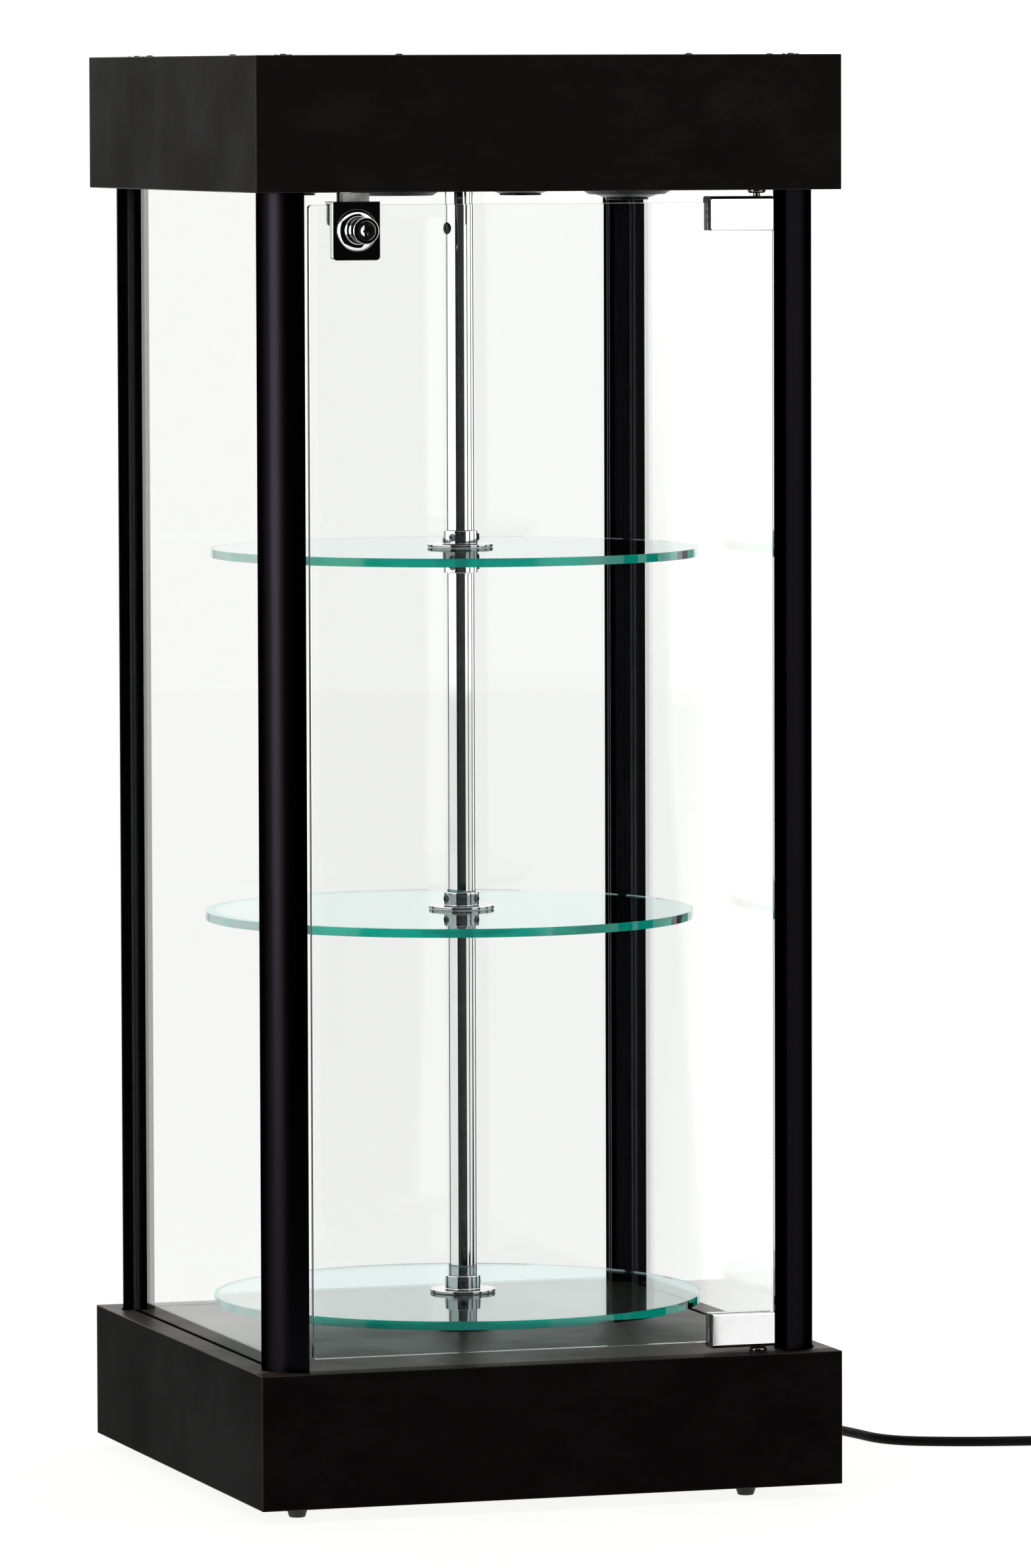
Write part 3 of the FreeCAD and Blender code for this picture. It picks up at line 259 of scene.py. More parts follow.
def combined(mesh, others, operation):
    """A solid after a cut, union or intersection with others."""
    made = []
    for source in [mesh] + others:
        data = bpy.data.meshes.new("blank")
        source.to_mesh(data)
        source.free()
        blank = bpy.data.objects.new("blank", data)
        bpy.context.scene.collection.objects.link(blank)
        made.append(blank)
    for other in made[1:]:
        change = made[0].modifiers.new("change", "BOOLEAN")
        change.object = other
        change.operation = operation
        change.solver = "EXACT"
    result = bmesh.new()
    result.from_object(made[0], bpy.context.evaluated_depsgraph_get())
    for blank in made:
        data = blank.data
        bpy.data.objects.remove(blank)
        bpy.data.meshes.remove(data)
    bmesh.ops.remove_doubles(result, verts=result.verts, dist=1e-7)
    bmesh.ops.dissolve_degenerate(result, dist=1e-7, edges=result.edges)
    return result


def cut(mesh, *tools):
    """A solid with tools cut out of it."""
    return combined(mesh, list(tools), "DIFFERENCE")


def fused(mesh, *others):
    """A solid joined with others."""
    return combined(mesh, list(others), "UNION")


def gathered(meshes):
    """Separate solids as one mesh."""
    whole = bmesh.new()
    for mesh in meshes:
        data = bpy.data.meshes.new("part")
        mesh.to_mesh(data)
        mesh.free()
        whole.from_mesh(data)
        bpy.data.meshes.remove(data)
    return whole


def mirrored(mesh, flip_x, flip_y):
    """Copy of a solid in another quadrant of the cabinet."""
    copy = mesh.copy()
    bmesh.ops.scale(copy, vec=(-1 if flip_x else 1, -1 if flip_y else 1, 1), verts=copy.verts)
    bmesh.ops.recalc_face_normals(copy, faces=copy.faces)
    return copy


def four_ways(mesh):
    """A solid of the rear right quadrant in all four quadrants."""
    return [mirrored(mesh, flip_x, flip_y) for flip_x in (False, True) for flip_y in (False, True)]


def piece(name, mesh, body, finishes, nodes=()):
    """Makes a mesh a piece of the cabinet that moves with a body and stands for CAD nodes."""
    data = bpy.data.meshes.new(name)
    mesh.to_mesh(data)
    mesh.free()
    for finish in finishes:
        data.materials.append(finish)
    data.shade_smooth()
    data.set_sharp_from_angle(angle=math.radians(38))
    shown = bpy.data.objects.new(name, data)
    bpy.context.scene.collection.objects.link(shown)
    even = shown.modifiers.new("even_normals", "WEIGHTED_NORMAL")
    even.keep_sharp = True
    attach(shown, body)
    if nodes:
        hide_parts(*nodes)
    return shown


def dress(node, finish):
    """Gives a carried-over CAD node its finish."""
    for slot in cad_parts[node].material_slots:
        slot.material = finish


# Finishes

class Finish:
    """Builds one material's nodes on Object coordinates, or the surroundings' nodes."""

    def __init__(self, name, holder=None):
        self.material = holder or bpy.data.materials.new(name)
        self.material.use_nodes = True
        self.tree = self.material.node_tree
        self.shader = self.tree.nodes.get("Principled BSDF")
        self.output = self.tree.nodes.get("Material Output")
        self.place = self.tree.nodes.new("ShaderNodeTexCoord").outputs["Object"]
        self.path = self.tree.nodes.new("ShaderNodeLightPath").outputs

    def set(self, **values):
        """Sets sockets of the shader, named with underscores."""
        for name, value in values.items():
            socket = self.shader.inputs[name.replace("_", " ")]
            if isinstance(value, bpy.types.NodeSocket):
                self.tree.links.new(value, socket)
            elif socket.type == "RGBA":
                socket.default_value = (*value, 1.0)
            else:
                socket.default_value = value
        return self

    def node(self, kind, inputs, **settings):
        """Adds a node with its settings, and its inputs by name or number."""
        made = self.tree.nodes.new(kind)
        for name, value in settings.items():
            setattr(made, name, value)
        for key, value in inputs.items():
            if isinstance(value, bpy.types.NodeSocket):
                self.tree.links.new(value, made.inputs[key])
            else:
                made.inputs[key].default_value = value
        return made

    def stretched(self, stretch):
        """Object coordinates scaled unevenly."""
        return self.node("ShaderNodeMapping", {"Vector": self.place, "Scale": stretch}).outputs[0]

    def grain(self, scale, stretch=None, detail=4.0, lumpiness=0.55):
        """Noise from 0 to 1."""
        where = self.stretched(stretch) if stretch else self.place
        inputs = {"Vector": where, "Scale": scale, "Detail": detail, "Roughness": lumpiness}
        return self.node("ShaderNodeTexNoise", inputs).outputs[0]

    def graded(self, source, low, high, to_low=0.0, to_high=1.0):
        """A value's range laid on another range, with soft ends."""
        inputs = {0: source, 1: low, 2: high, 3: to_low, 4: to_high}
        return self.node("ShaderNodeMapRange", inputs, interpolation_type="SMOOTHSTEP").outputs[0]

    def blended(self, factor, first, second):
        """Two colours mixed by a factor."""
        made = self.node("ShaderNodeMix", {"Factor": factor}, data_type="RGBA")
        for socket, value in zip((made.inputs[6], made.inputs[7]), (first, second)):
            if isinstance(value, bpy.types.NodeSocket):
                self.tree.links.new(value, socket)
            else:
                socket.default_value = (*value, 1.0)
        return made.outputs[2]

    def maths(self, operation, first, second=0.0):
        """One arithmetic step."""
        return self.node("ShaderNodeMath", {0: first, 1: second}, operation=operation).outputs[0]

    def times(self, first, second):
        """Product of two values."""
        return self.maths("MULTIPLY", first, second)

    def along(self, vector, direction):
        """How far a vector reaches along a direction."""
        inputs = {0: vector, 1: direction}
        return self.node("ShaderNodeVectorMath", inputs, operation="DOT_PRODUCT").outputs["Value"]

    def distance(self, vector):
        """Length of a vector."""
        return self.node("ShaderNodeVectorMath", {0: vector}, operation="LENGTH").outputs["Value"]

    def glow(self, strength, shade):
        """Shader of a glow."""
        inputs = {"Color": (*shade, 1.0), "Strength": strength}
        return self.node("ShaderNodeEmission", inputs).outputs[0]

    def seen(self):
        """1 on camera, glossy and transmission rays."""
        glossy = self.maths("MAXIMUM", self.path["Is Camera Ray"], self.path["Is Glossy Ray"])
        return self.maths("MAXIMUM", glossy, self.path["Is Transmission Ray"])

    def muted(self, strength):
        """A glow's strength, low where it is mirrored twice behind one pane."""
        twice = self.maths("GREATER_THAN", self.path["Glossy Depth"], 1.5)
        near = self.maths("LESS_THAN", self.path["Transmission Depth"], 4.5)
        kept = self.graded(self.times(twice, near), 0.0, 1.0, 1.0, 0.12)
        return self.times(strength, kept)

    def relief(self, height, depth, strength=1.0):
        """Bumps the shader's normal by a height of a depth in metres."""
        inputs = {"Height": height, "Distance": depth, "Strength": strength}
        bump = self.node("ShaderNodeBump", inputs)
        self.tree.links.new(bump.outputs[0], self.shader.inputs["Normal"])
        return self

    def mixed(self, factor, second):
        """Puts a second shader over the first by a factor."""
        mix = self.node("ShaderNodeMixShader", {0: factor, 1: self.shader.outputs[0], 2: second})
        self.tree.links.new(mix.outputs[0], self.output.inputs["Surface"])
        return self


def lighter(shade, amount):
    """A colour moved towards white by an amount."""
    return tuple(part + (1 - part) * amount for part in shade)


def darker(shade, amount):
    """A colour scaled towards black by an amount."""
    return tuple(part * (1 - amount) for part in shade)


def laminate_finish(name, shade, scuffs, gloss, gleam):
    """Satin laminate with a fine texture, handling marks and rubbed scuffs."""
    finish = Finish(name)
    pores = finish.grain(1400.0, detail=2.0)
    cloud = finish.grain(7.0, detail=6.0, lumpiness=0.6)
    smears = finish.grain(16.0, (1.0, 1.0, 2.2), 8.0, 0.72)
    rubbed = finish.graded(finish.times(smears, cloud), 0.22, 0.42, 0.0, scuffs)
    bared = lighter((shade[0] * 1.6, shade[1] * 1.5, shade[2] * 1.5), 0.004)
    tone = finish.blended(finish.graded(cloud, 0.35, 0.7), shade, darker(shade, 0.35))
    tone = finish.blended(rubbed, tone, bared)
    worn = finish.graded(cloud, 0.3, 0.7, gloss - 0.05, gloss + 0.07)
    worn = finish.maths("ADD", worn, finish.times(rubbed, 0.1))
    warm = (0.84, 0.74, 0.66)
    finish.set(Base_Color=tone, Roughness=worn, IOR=1.45, Specular_IOR_Level=gleam, Specular_Tint=warm)
    return finish.relief(pores, 0.00004, 0.5).material


def anodised_finish():
    """Black anodised aluminium with extrusion lines along the post."""
    shade = tuple(colours().anodised)
    finish = Finish("black_anodised_aluminium")
    lines = finish.grain(1500.0, (1.0, 1.0, 0.004), 3.0)
    cloud = finish.grain(6.0, (1.0, 1.0, 0.3), 4.0)
    tone = finish.blended(finish.graded(cloud, 0.3, 0.7), shade, darker(shade, 0.22))
    rough = finish.graded(lines, 0.3, 0.7, 0.26, 0.30)
    finish.set(Base_Color=tone, Roughness=rough, Metallic=1.0, Specular_Tint=(0.22, 0.22, 0.25))
    return finish.relief(lines, 0.000006, 0.12).material


def chrome_finish(name, roughness):
    """Bright chrome with faint polishing marks and finger haze."""
    shade = tuple(colours().chrome)
    finish = Finish(name)
    haze = finish.grain(40.0, detail=5.0)
    marks = finish.grain(900.0, (1.0, 0.08, 1.0), 2.0)
    rough = finish.graded(haze, 0.45, 0.75, roughness, roughness + 0.03)
    tone = finish.blended(finish.graded(haze, 0.3, 0.8), shade, darker(shade, 0.07))
    finish.set(Base_Color=tone, Roughness=rough, Metallic=1.0)
    return finish.relief(marks, 0.00001, 0.12).material


def metal_finish(name, shade, roughness, grain_scale, mottling=0.2, depth=0.00003, metallic=1.0):
    """Plain machined or cast metal with mottling."""
    finish = Finish(name)
    speckle = finish.grain(grain_scale, detail=6.0, lumpiness=0.65)
    patches = finish.grain(grain_scale / 8, detail=4.0)
    tone = finish.blended(finish.graded(patches, 0.3, 0.7), shade, darker(shade, mottling))
    bright = finish.graded(speckle, 0.5, 0.75, 0.0, mottling)
    tone = finish.blended(bright, tone, lighter(shade, mottling))
    rough = finish.graded(speckle, 0.3, 0.7, roughness, roughness + 0.14)
    finish.set(Base_Color=tone, Roughness=rough, Metallic=metallic)
    return finish.relief(speckle, depth, 0.5).material


def soft_finish(name, shade, roughness, depth=0.00006, gleam=0.5):
    """Rubber or moulded polymer with a fine matt skin."""
    finish = Finish(name)
    skin = finish.grain(1100.0, detail=3.0)
    cloud = finish.grain(30.0, detail=4.0)
    tone = finish.blended(finish.graded(cloud, 0.35, 0.7), shade, darker(shade, 0.3))
    rough = finish.graded(cloud, 0.3, 0.7, roughness, roughness + 0.1)
    finish.set(Base_Color=tone, Roughness=rough, Specular_IOR_Level=gleam)
    return finish.relief(skin, depth, 0.6).material


def timber_finish():
    """Bare pressed board with its chips."""
    shade = tuple(colours().timber)
    finish = Finish("bare_pressed_board")
    chips = finish.grain(160.0, (1.0, 1.0, 2.5), 6.0, 0.7)
    cloud = finish.grain(20.0, detail=3.0)
    tone = finish.blended(finish.graded(chips, 0.35, 0.65), darker(shade, 0.4), lighter(shade, 0.15))
    tone = finish.blended(finish.graded(cloud, 0.4, 0.7, 0.0, 0.4), tone, darker(shade, 0.25))
    finish.set(Base_Color=tone, Roughness=0.85)
    return finish.relief(chips, 0.0003, 0.6).material


def glass_finish(name, through, gleam, rim=None):
    """Clear glass that takes its tint from the depth looked through, ground beyond a rim's radius."""
    finish = Finish(name)
    wipes = finish.grain(14.0, (1.0, 1.0, 0.4), 5.0, 0.6)
    rough = finish.graded(wipes, 0.55, 0.8, 0.0, 0.03)
    finish.set(
        Base_Color=WHITE, Roughness=rough, Transmission_Weight=1.0, IOR=1.5, Specular_IOR_Level=gleam
    )
    if rim:
        reach = finish.distance(finish.stretched((1.0, 1.0, 0.0)))
        ground = finish.graded(reach, rim - 0.0008, rim - 0.0004)
        finish.set(
            Base_Color=finish.blended(ground, WHITE, (0.035, 0.80, 0.67)),
            Roughness=finish.maths("MAXIMUM", rough, finish.times(ground, 0.12)),
            Transmission_Weight=finish.graded(ground, 0.0, 1.0, 1.0, 0.8),
        )
    depths = [-math.log(part) / 0.1 for part in through]
    thickest = max(depths)
    tint = tuple(1 - depth / thickest for depth in depths)
    absorption = finish.node("ShaderNodeVolumeAbsorption", {"Color": (*tint, 1.0), "Density": thickest})
    finish.tree.links.new(absorption.outputs[0], finish.output.inputs["Volume"])
    clear = finish.node("ShaderNodeBsdfTransparent", {"Color": (0.93, 0.94, 0.94, 1.0)})
    return finish.mixed(finish.path["Is Shadow Ray"], clear.outputs[0]).material


# Stage

CAMERA_SPOT = (-2.09306, -6.57764, 0.97988)
CAMERA_TURNS = (("Z", -17.974), ("X", 85.9224), ("Z", -0.175))
CARD_PROFILE = ((0.95, 0.005), (2.6, 0.35), (2.6, 2.4))
STRIP_PROFILE = ((2.2, 0.15), (2.2, 2.0))
BLACK_CARDS = (
    ("front_card", -52.0, 24.0), ("right_flag", 67.0, 90.0), ("rear_flag", 114.0, 132.0),
    ("left_flag", 214.0, 223.0),
)
STUDIO_LAMPS = (
    ("key", (-3.2, -3.4, 3.6), 2.4, 150.0),
    ("fill", (3.6, -2.6, 2.4), 2.4, 60.0),
    ("top", (0.3, 1.2, 4.2), 2.6, 90.0),
)
STUDIO_TARGET = Vector((0, 0, 0.55))
STRIP_GLOW = 9.0
SIGHT = (0.309, 0.951, 0.0)  # the camera's level line of sight
SIDE_SIGHT = (-0.309, 0.951, 0.0)  # the same line, mirrored by a side pane
WALL_SIDE = (0.5, 0.866, 0.0)  # towards the brighter wall
FLOOR_WALL_SIDE = (0.944, -0.33, 0.0)  # across this wall's edge on the floor
CARD_CUT = (0.9518, 0.3066, 0.0)  # across the front card's edge
FLOOR_RADIUS = 9.0
FLOOR_GAP = 0.0002


def make_stage():
    """Camera, floor, reflection cards, lamps and surroundings."""
    scene = bpy.context.scene
    scene.view_settings.view_transform = "Standard"
    place_camera(scene)

    floor_mesh = bmesh.new()
    bmesh.ops.create_circle(floor_mesh, cap_ends=True, radius=FLOOR_RADIUS, segments=96)
    floor = stage_object("floor", floor_mesh, floor_finish())
    floor.location.z = -FLOOR_GAP

    black = card_finish()
    for name, start, end in BLACK_CARDS:
        card = stage_object(name, spun_screen(CARD_PROFILE, start, end), black)
        hide_from(card, "camera", "diffuse", "shadow")
    strip = stage_object("left_strip", spun_screen(STRIP_PROFILE, -86.0, -62.0), strip_finish())
    hide_from(strip, "camera", "diffuse", "transmission", "shadow")
    for lamp in STUDIO_LAMPS:
        place_studio_lamp(scene, *lamp)
    scene.world = bpy.data.worlds.new("surroundings")
    light_surroundings(scene.world)


def place_camera(scene):
    """Camera with a long lens, before the front and a little to the left."""
    lens = bpy.data.cameras.new("camera")
    lens.lens = 225.38
    lens.sensor_width = 36.0
    lens.clip_end = 100.0
    camera = bpy.data.objects.new("camera", lens)
    scene.collection.objects.link(camera)
    place = Matrix.Translation(CAMERA_SPOT)
    for axis, degrees in CAMERA_TURNS:
        place = place @ Matrix.Rotation(math.radians(degrees), 4, axis)
    camera.matrix_world = place
    scene.camera = camera


def place_studio_lamp(scene, name, spot, size, power):
    """Square lamp that faces the cabinet and isn't mirrored."""
    light = bpy.data.lights.new(name, "AREA")
    light.shape = "SQUARE"
    light.size = size
    light.energy = power
    lamp = bpy.data.objects.new(name, light)
    lamp.location = spot
    lamp.rotation_euler = (STUDIO_TARGET - Vector(spot)).to_track_quat("-Z", "Y").to_euler()
    hide_from(lamp, "glossy", "transmission")
    scene.collection.objects.link(lamp)


def hide_from(shown, *rays):
    """Takes an object out of some kinds of rays."""
    for kind in rays:
        setattr(shown, "visible_" + kind, False)


def spun_screen(profile, start, end):
    """Screen spun from (radius, height) points round the cabinet, between two bearings from the front."""
    mesh = bmesh.new()
    first = math.radians(start)
    points = [mesh.verts.new((r * math.sin(first), -r * math.cos(first), z)) for r, z in profile]
    edges = [mesh.edges.new(pair) for pair in zip(points, points[1:])]
    sweep = math.radians(end - start)
    bmesh.ops.spin(mesh, geom=points + edges, cent=(0, 0, 0), axis=(0, 0, 1), angle=sweep, steps=36)
    return mesh


def stage_object(name, mesh, finish):
    """Part of the surroundings that isn't part of the cabinet."""
    data = bpy.data.meshes.new(name)
    mesh.to_mesh(data)
    mesh.free()
    data.materials.append(finish)
    shown = bpy.data.objects.new(name, data)
    bpy.context.scene.collection.objects.link(shown)
    return shown


def light_surroundings(world):
    """Pale surroundings with a brighter wall to the right, weaker or stronger where they are mirrored."""
    around = Finish("surroundings", world)
    towards = around.node("ShaderNodeTexCoord", {}).outputs["Generated"]
    wall = around.graded(around.along(towards, WALL_SIDE), 0.97922, 0.98325, 1.05, 1.5)
    ahead = around.graded(around.along(towards, SIGHT), 0.955, 0.975, 1.35, 1.06)
    beside = around.graded(around.along(towards, SIDE_SIGHT), 0.955, 0.975, 1.0, 0.72)
    once = around.maths("GREATER_THAN", around.path["Glossy Depth"], 0.5)
    mirrored = around.maths("POWER", around.times(ahead, beside), once)
    seen = around.seen()
    shown = around.times(around.muted(around.times(wall, mirrored)), seen)
    hidden = around.times(around.maths("SUBTRACT", 1.0, seen), 0.55)
    background = around.tree.nodes["Background"]
    background.inputs["Color"].default_value = (*PALE, 1.0)
    around.tree.links.new(around.maths("ADD", shown, hidden), background.inputs["Strength"])


def floor_finish():
    """White floor that keeps the cabinet's shadow, brighter behind to the right."""
    finish = Finish("white_floor")
    finish.set(Base_Color=(0.8, 0.8, 0.8), Roughness=0.9, Specular_IOR_Level=0.0)
    behind = finish.along(finish.place, BACKWARDS)
    wall = finish.graded(finish.along(finish.place, FLOOR_WALL_SIDE), 0.12, 0.23)
    wall = finish.times(wall, finish.graded(behind, 0.9, 3.2, 0.28, 0.42))
    wall = finish.times(wall, finish.graded(behind, 0.3, 0.5))
    plain = finish.graded(finish.distance(finish.place), 1.0, 8.0, 1.04, 1.10)
    glow = finish.glow(finish.muted(finish.maths("ADD", plain, wall)), PALE)
    return finish.mixed(finish.times(finish.seen(), 0.88), glow).material


def strip_finish():
    """Evenly lit diffuser."""
    finish = Finish("left_strip")
    finish.tree.links.new(finish.glow(STRIP_GLOW, WHITE), finish.output.inputs["Surface"])
    return finish.material


def card_finish():
    """Matt black card that only mirrors show, cut off past a plane in front of the cabinet."""
    finish = Finish("black_card")
    finish.set(Base_Color=(0.002, 0.002, 0.002), Roughness=0.95, Specular_IOR_Level=0.0)
    past = finish.graded(finish.along(finish.place, CARD_CUT), 0.066, 0.076)
    front = finish.maths("LESS_THAN", finish.along(finish.place, BACKWARDS), -0.4)
    direct = finish.maths("LESS_THAN", finish.path["Glossy Depth"], 0.5)
    clear = finish.node("ShaderNodeBsdfTransparent", {})
    return finish.mixed(finish.maths("MAXIMUM", finish.times(past, front), direct), clear.outputs[0]).material


# Cord

CORD_ROUTE = (
    (0.150, 0.2215, 0.038), (0.150, 0.252, 0.038), (0.155, 0.291, 0.023), (0.170, 0.331, 0.0035),
    (0.207, 0.363, 0.0035), (0.257, 0.367, 0.0035), (0.301, 0.337, 0.0035), (0.325, 0.288, 0.0035),
    (0.328, 0.234, 0.0035), (0.314, 0.180, 0.0035), (0.304, 0.126, 0.0035), (0.319, 0.076, 0.0035),
    (0.328, 0.024, 0.0035), (0.378, 0.0, 0.0035), (0.432, -0.013, 0.0035), (0.486, -0.0205, 0.0035),
    (0.534, -0.021, 0.0035),
)
PLUG_NECK = ((0.559, -0.021, 0.0105), (0.570, -0.021, 0.0105))
GRIP_HALF = Vector((0.0008, 0.0012, 0.006))  # half of a tool for the plug's grip grooves
CORD_DIAMETER = 0.007
COIL_CENTRE = Vector((0.548, -0.066))
COIL_RADIUS = 0.031  # of the innermost turn


def eased(turned_by, start, end):
    """0 before a start, 1 after an end, smooth between."""
    share = min(max((turned_by - start) / (end - start), 0.0), 1.0)
    return share * share * (3 - 2 * share)


def coil_points():
    """Five turns of the put-away cord: three inwards on the floor, two outwards on top of them."""
    points = []
    per_turn = 24
    grow = 1 / math.cos(math.pi / per_turn)
    for step in range(5 * per_turn + 1):
        angle = 360.0 * step / per_turn
        ring = 2 - eased(angle, 280, 340) - eased(angle, 640, 700)
        ring += eased(angle, 1240, 1300) + eased(angle, 1600, 1660)
        radius = (COIL_RADIUS + CORD_DIAMETER * ring) * grow
        level = CORD_DIAMETER / 2 + CORD_DIAMETER * eased(angle, 940, 1000)
        bearing = math.radians(90.0 - angle)
        spot = COIL_CENTRE + Vector((math.cos(bearing), math.sin(bearing))) * radius
        points.append((spot.x, spot.y, level))
    return points


def make_cord():
    """Mains cord with its gland, strain relief and plug."""
    rubber = soft_finish("black_cord_rubber", (0.0012, 0.0012, 0.0014), 0.5, 0.00003, 0.08)
    cord = lay_cord(rubber)

    exit_x, exit_y, exit_z = CORD_ROUTE[0]
    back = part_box("base_back_board")[1].y
    start = exit_y - back
    place = Matrix.Translation((exit_x, back, exit_z)) @ TO_BACK
    polymer = soft_finish("black_gland_polymer", (0.014, 0.014, 0.015), 0.36)
    gland = gland_solid(place, start)
    gland_piece = piece("cord_gland_body", gland, "cabinet", [polymer], ["cord_gland"])
    relief = relief_solid(place, start)
    relief_piece = piece("strain_relief", relief, "cabinet", [rubber])

    plug = piece("plug_moulding", plug_solid(), "cabinet", [rubber], ["plug_body"])
    brass = metal_finish("bright_brass", (0.75, 0.55, 0.26), 0.18, 500.0, 0.1)
    pins_piece = piece("plug_pin_pair", pins_solid(), "cabinet", [brass], ["plug_pins"])


def lay_cord(rubber):
    """Cord along its route, round its coil and into the plug."""
    route = list(CORD_ROUTE) + coil_points() + list(PLUG_NECK)
    line = bpy.data.curves.new("mains_cord", "CURVE")
    line.dimensions = "3D"
    line.bevel_depth = CORD_DIAMETER / 2
    line.bevel_resolution = 6
    line.resolution_u = 8
    line.use_fill_caps = True
    spline = line.splines.new("NURBS")
    spline.points.add(len(route) - 1)
    for point, spot in zip(spline.points, route):
        point.co = (*spot, 1.0)
    spline.order_u = 3
    spline.use_endpoint_u = True
    line.materials.append(rubber)
    cord = bpy.data.objects.new("mains_cord", line)
    bpy.context.scene.collection.objects.link(cord)
    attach(cord, "cabinet")
    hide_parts("cord_run", "cord_coil")
    return cord


def gland_solid(place, start):
    """Screwed gland with its flange outside the board and its nut inside."""
    corners = [math.radians(60 * corner) for corner in range(6)]
    nut = prism(
        [(math.cos(angle) * 0.0102, math.sin(angle) * 0.0102, 0) for angle in corners],
        0.0042, place @ Matrix.Translation((0, 0, -0.0138)),
    )
    body = turned(
        [
            (0.0, -0.0145), (0.0060, -0.0145), (0.0060, 0.0), (0.0090, 0.0), (0.0090, 0.0040),
            (0.0070, 0.0046), (0.0068, start), (0.0, start),
        ],
        place, 48,
    )
    return gathered([softened(body, 0.0004), softened(nut, 0.0004)])


def relief_solid(place, start):
    """Ribbed boot that tapers from the gland outwards."""
    size = sizes()
    profile = [(0.0, start - 0.002), (0.0064, start - 0.002)]
    for ring in range(size.relief_rings):
        near = start + size.relief_length * ring / size.relief_rings
        far = start + size.relief_length * (ring + 1) / size.relief_rings
        radius = 0.0062 - 0.0020 * ring / (size.relief_rings - 1)
        profile += [(radius, near + 0.0006), (radius - 0.0002, far - 0.0010)]
        if ring < size.relief_rings - 1:
            profile += [(radius - 0.0010, far - 0.0008), (radius - 0.0010, far + 0.0004)]
    profile += [(0.0037, start + size.relief_length), (0.0, start + size.relief_length)]
    return softened(turned(profile, place, 48), 0.00015)


def plug_solid():
    """Flared plug with grip grooves in its flanks and a ribbed sleeve round the cord."""
    low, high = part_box("plug_body")
    y = (low.y + high.y) / 2
    z = (low.z + high.z) / 2
    shoulder = low.x + 0.026
    half_width = 0.012
    flare = 0.176
    corner = 0.005
    body = prism(
        [
            (shoulder, y - half_width, corner), (high.x, low.y, corner),
            (high.x, high.y, corner), (shoulder, y + half_width, corner),
        ],
        high.z - low.z, Matrix.Translation((0, 0, low.z)),
    )
    body = softened(body, 0.0035, 5, 50.0)
    grips = []
    for side in (-1, 1):
        for step in range(4):
            x = shoulder + 0.011 + 0.0045 * step
            middle = Vector((x, y + side * (half_width + 0.0001 + (x - shoulder) * flare), z))
            grips.append(block(middle - GRIP_HALF, middle + GRIP_HALF))
    profile = [(0.0, 0.0)]
    for ring in range(5):
        radius = 0.0046 + 0.0018 * ring / 4
        foot = 0.005 * ring
        profile += [(radius, foot + 0.0008), (radius + 0.0002, foot + 0.0042)]
        profile += [(radius - 0.0008, foot + 0.0044), (radius - 0.0008, foot + 0.0056)]
    profile += [(0.0055, 0.030), (0.0, 0.030)]
    sleeve = turned(profile, Matrix.Translation((low.x, y, z)) @ TO_RIGHT, 48)
    return fused(cut(body, *grips), sleeve)


def pins_solid():
    """The plug's two round pins."""
    low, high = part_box("plug_body")
    profile = [
        (0.0, -0.003), (0.0024, -0.003), (0.0024, 0.0008), (0.00199, 0.0010), (0.00199, 0.0168),
        (0.0011, 0.0189), (0.0, 0.019),
    ]
    pins = []
    for side in (-1, 1):
        spot = (high.x, (low.y + high.y) / 2 + side * 0.0095, (low.z + high.z) / 2)
        pins.append(turned(profile, Matrix.Translation(spot) @ TO_RIGHT, 32))
    return gathered(pins)


# Posts, boxes and glass

def post_solid(margin, low, high):
    """Quarter-round post of the rear right corner, grown by a margin."""
    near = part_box("post_rear_right")[0].x
    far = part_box("post_rear_right")[1].x
    bar = rod(far - near + margin, (near, near, low), (near, near, high), 128)
    start, end = near - margin, far + 0.01
    quarter = block((start, start, low - OVERCUT), (end, end, high + OVERCUT))
    return combined(bar, [quarter], "INTERSECT")


def pane_plane():
    """How far the middle planes of the fixed panes are from the cabinet's middle."""
    low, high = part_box("back_pane")
    return (low.y + high.y) / 2


def make_posts():
    """Four quarter-round posts with their glass slots and bolt channel."""
    finish = anodised_finish()
    low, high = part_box("post_rear_right")
    start, end = low.x - OVERCUT, low.x + SLOT
    near, far = pane_plane() - GROOVE, pane_plane() + GROOVE
    below, above = low.z - OVERCUT, high.z + OVERCUT
    post = cut(
        post_solid(0.0, low.z, high.z),
        block((near, start, below), (far, end, above)),
        block((start, near, below), (end, far, above)),
        hole(CHANNEL, POST_BOLT, POST_BOLT, low.z, high.z),
    )
    softened(post, sizes().post_edge, 2, 40.0)
    spots = (("rear", "right"), ("front", "right"), ("rear", "left"), ("front", "left"))
    for (depth, side), mesh in zip(spots, four_ways(post)):
        piece(f"{depth}_{side}_post", mesh, "cabinet", [finish], [f"post_{depth}_{side}"])


def pane_grooves(low, high):
    """Grooves for the left, right and back panes between two levels."""
    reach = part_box("post_rear_right")[0].x + OVERCUT
    near, far = pane_plane() - GROOVE, pane_plane() + GROOVE
    return [
        block((-reach, near, low), (reach, far, high)),
        block((near, -reach, low), (far, reach, high)),
        block((-far, -reach, low), (-near, reach, high)),
    ]


def tinted(mesh, number):
    """Gives all faces of a tool a finish number, which they leave in the cut."""
    for face in mesh.faces:
        face.material_index = number
    return mesh


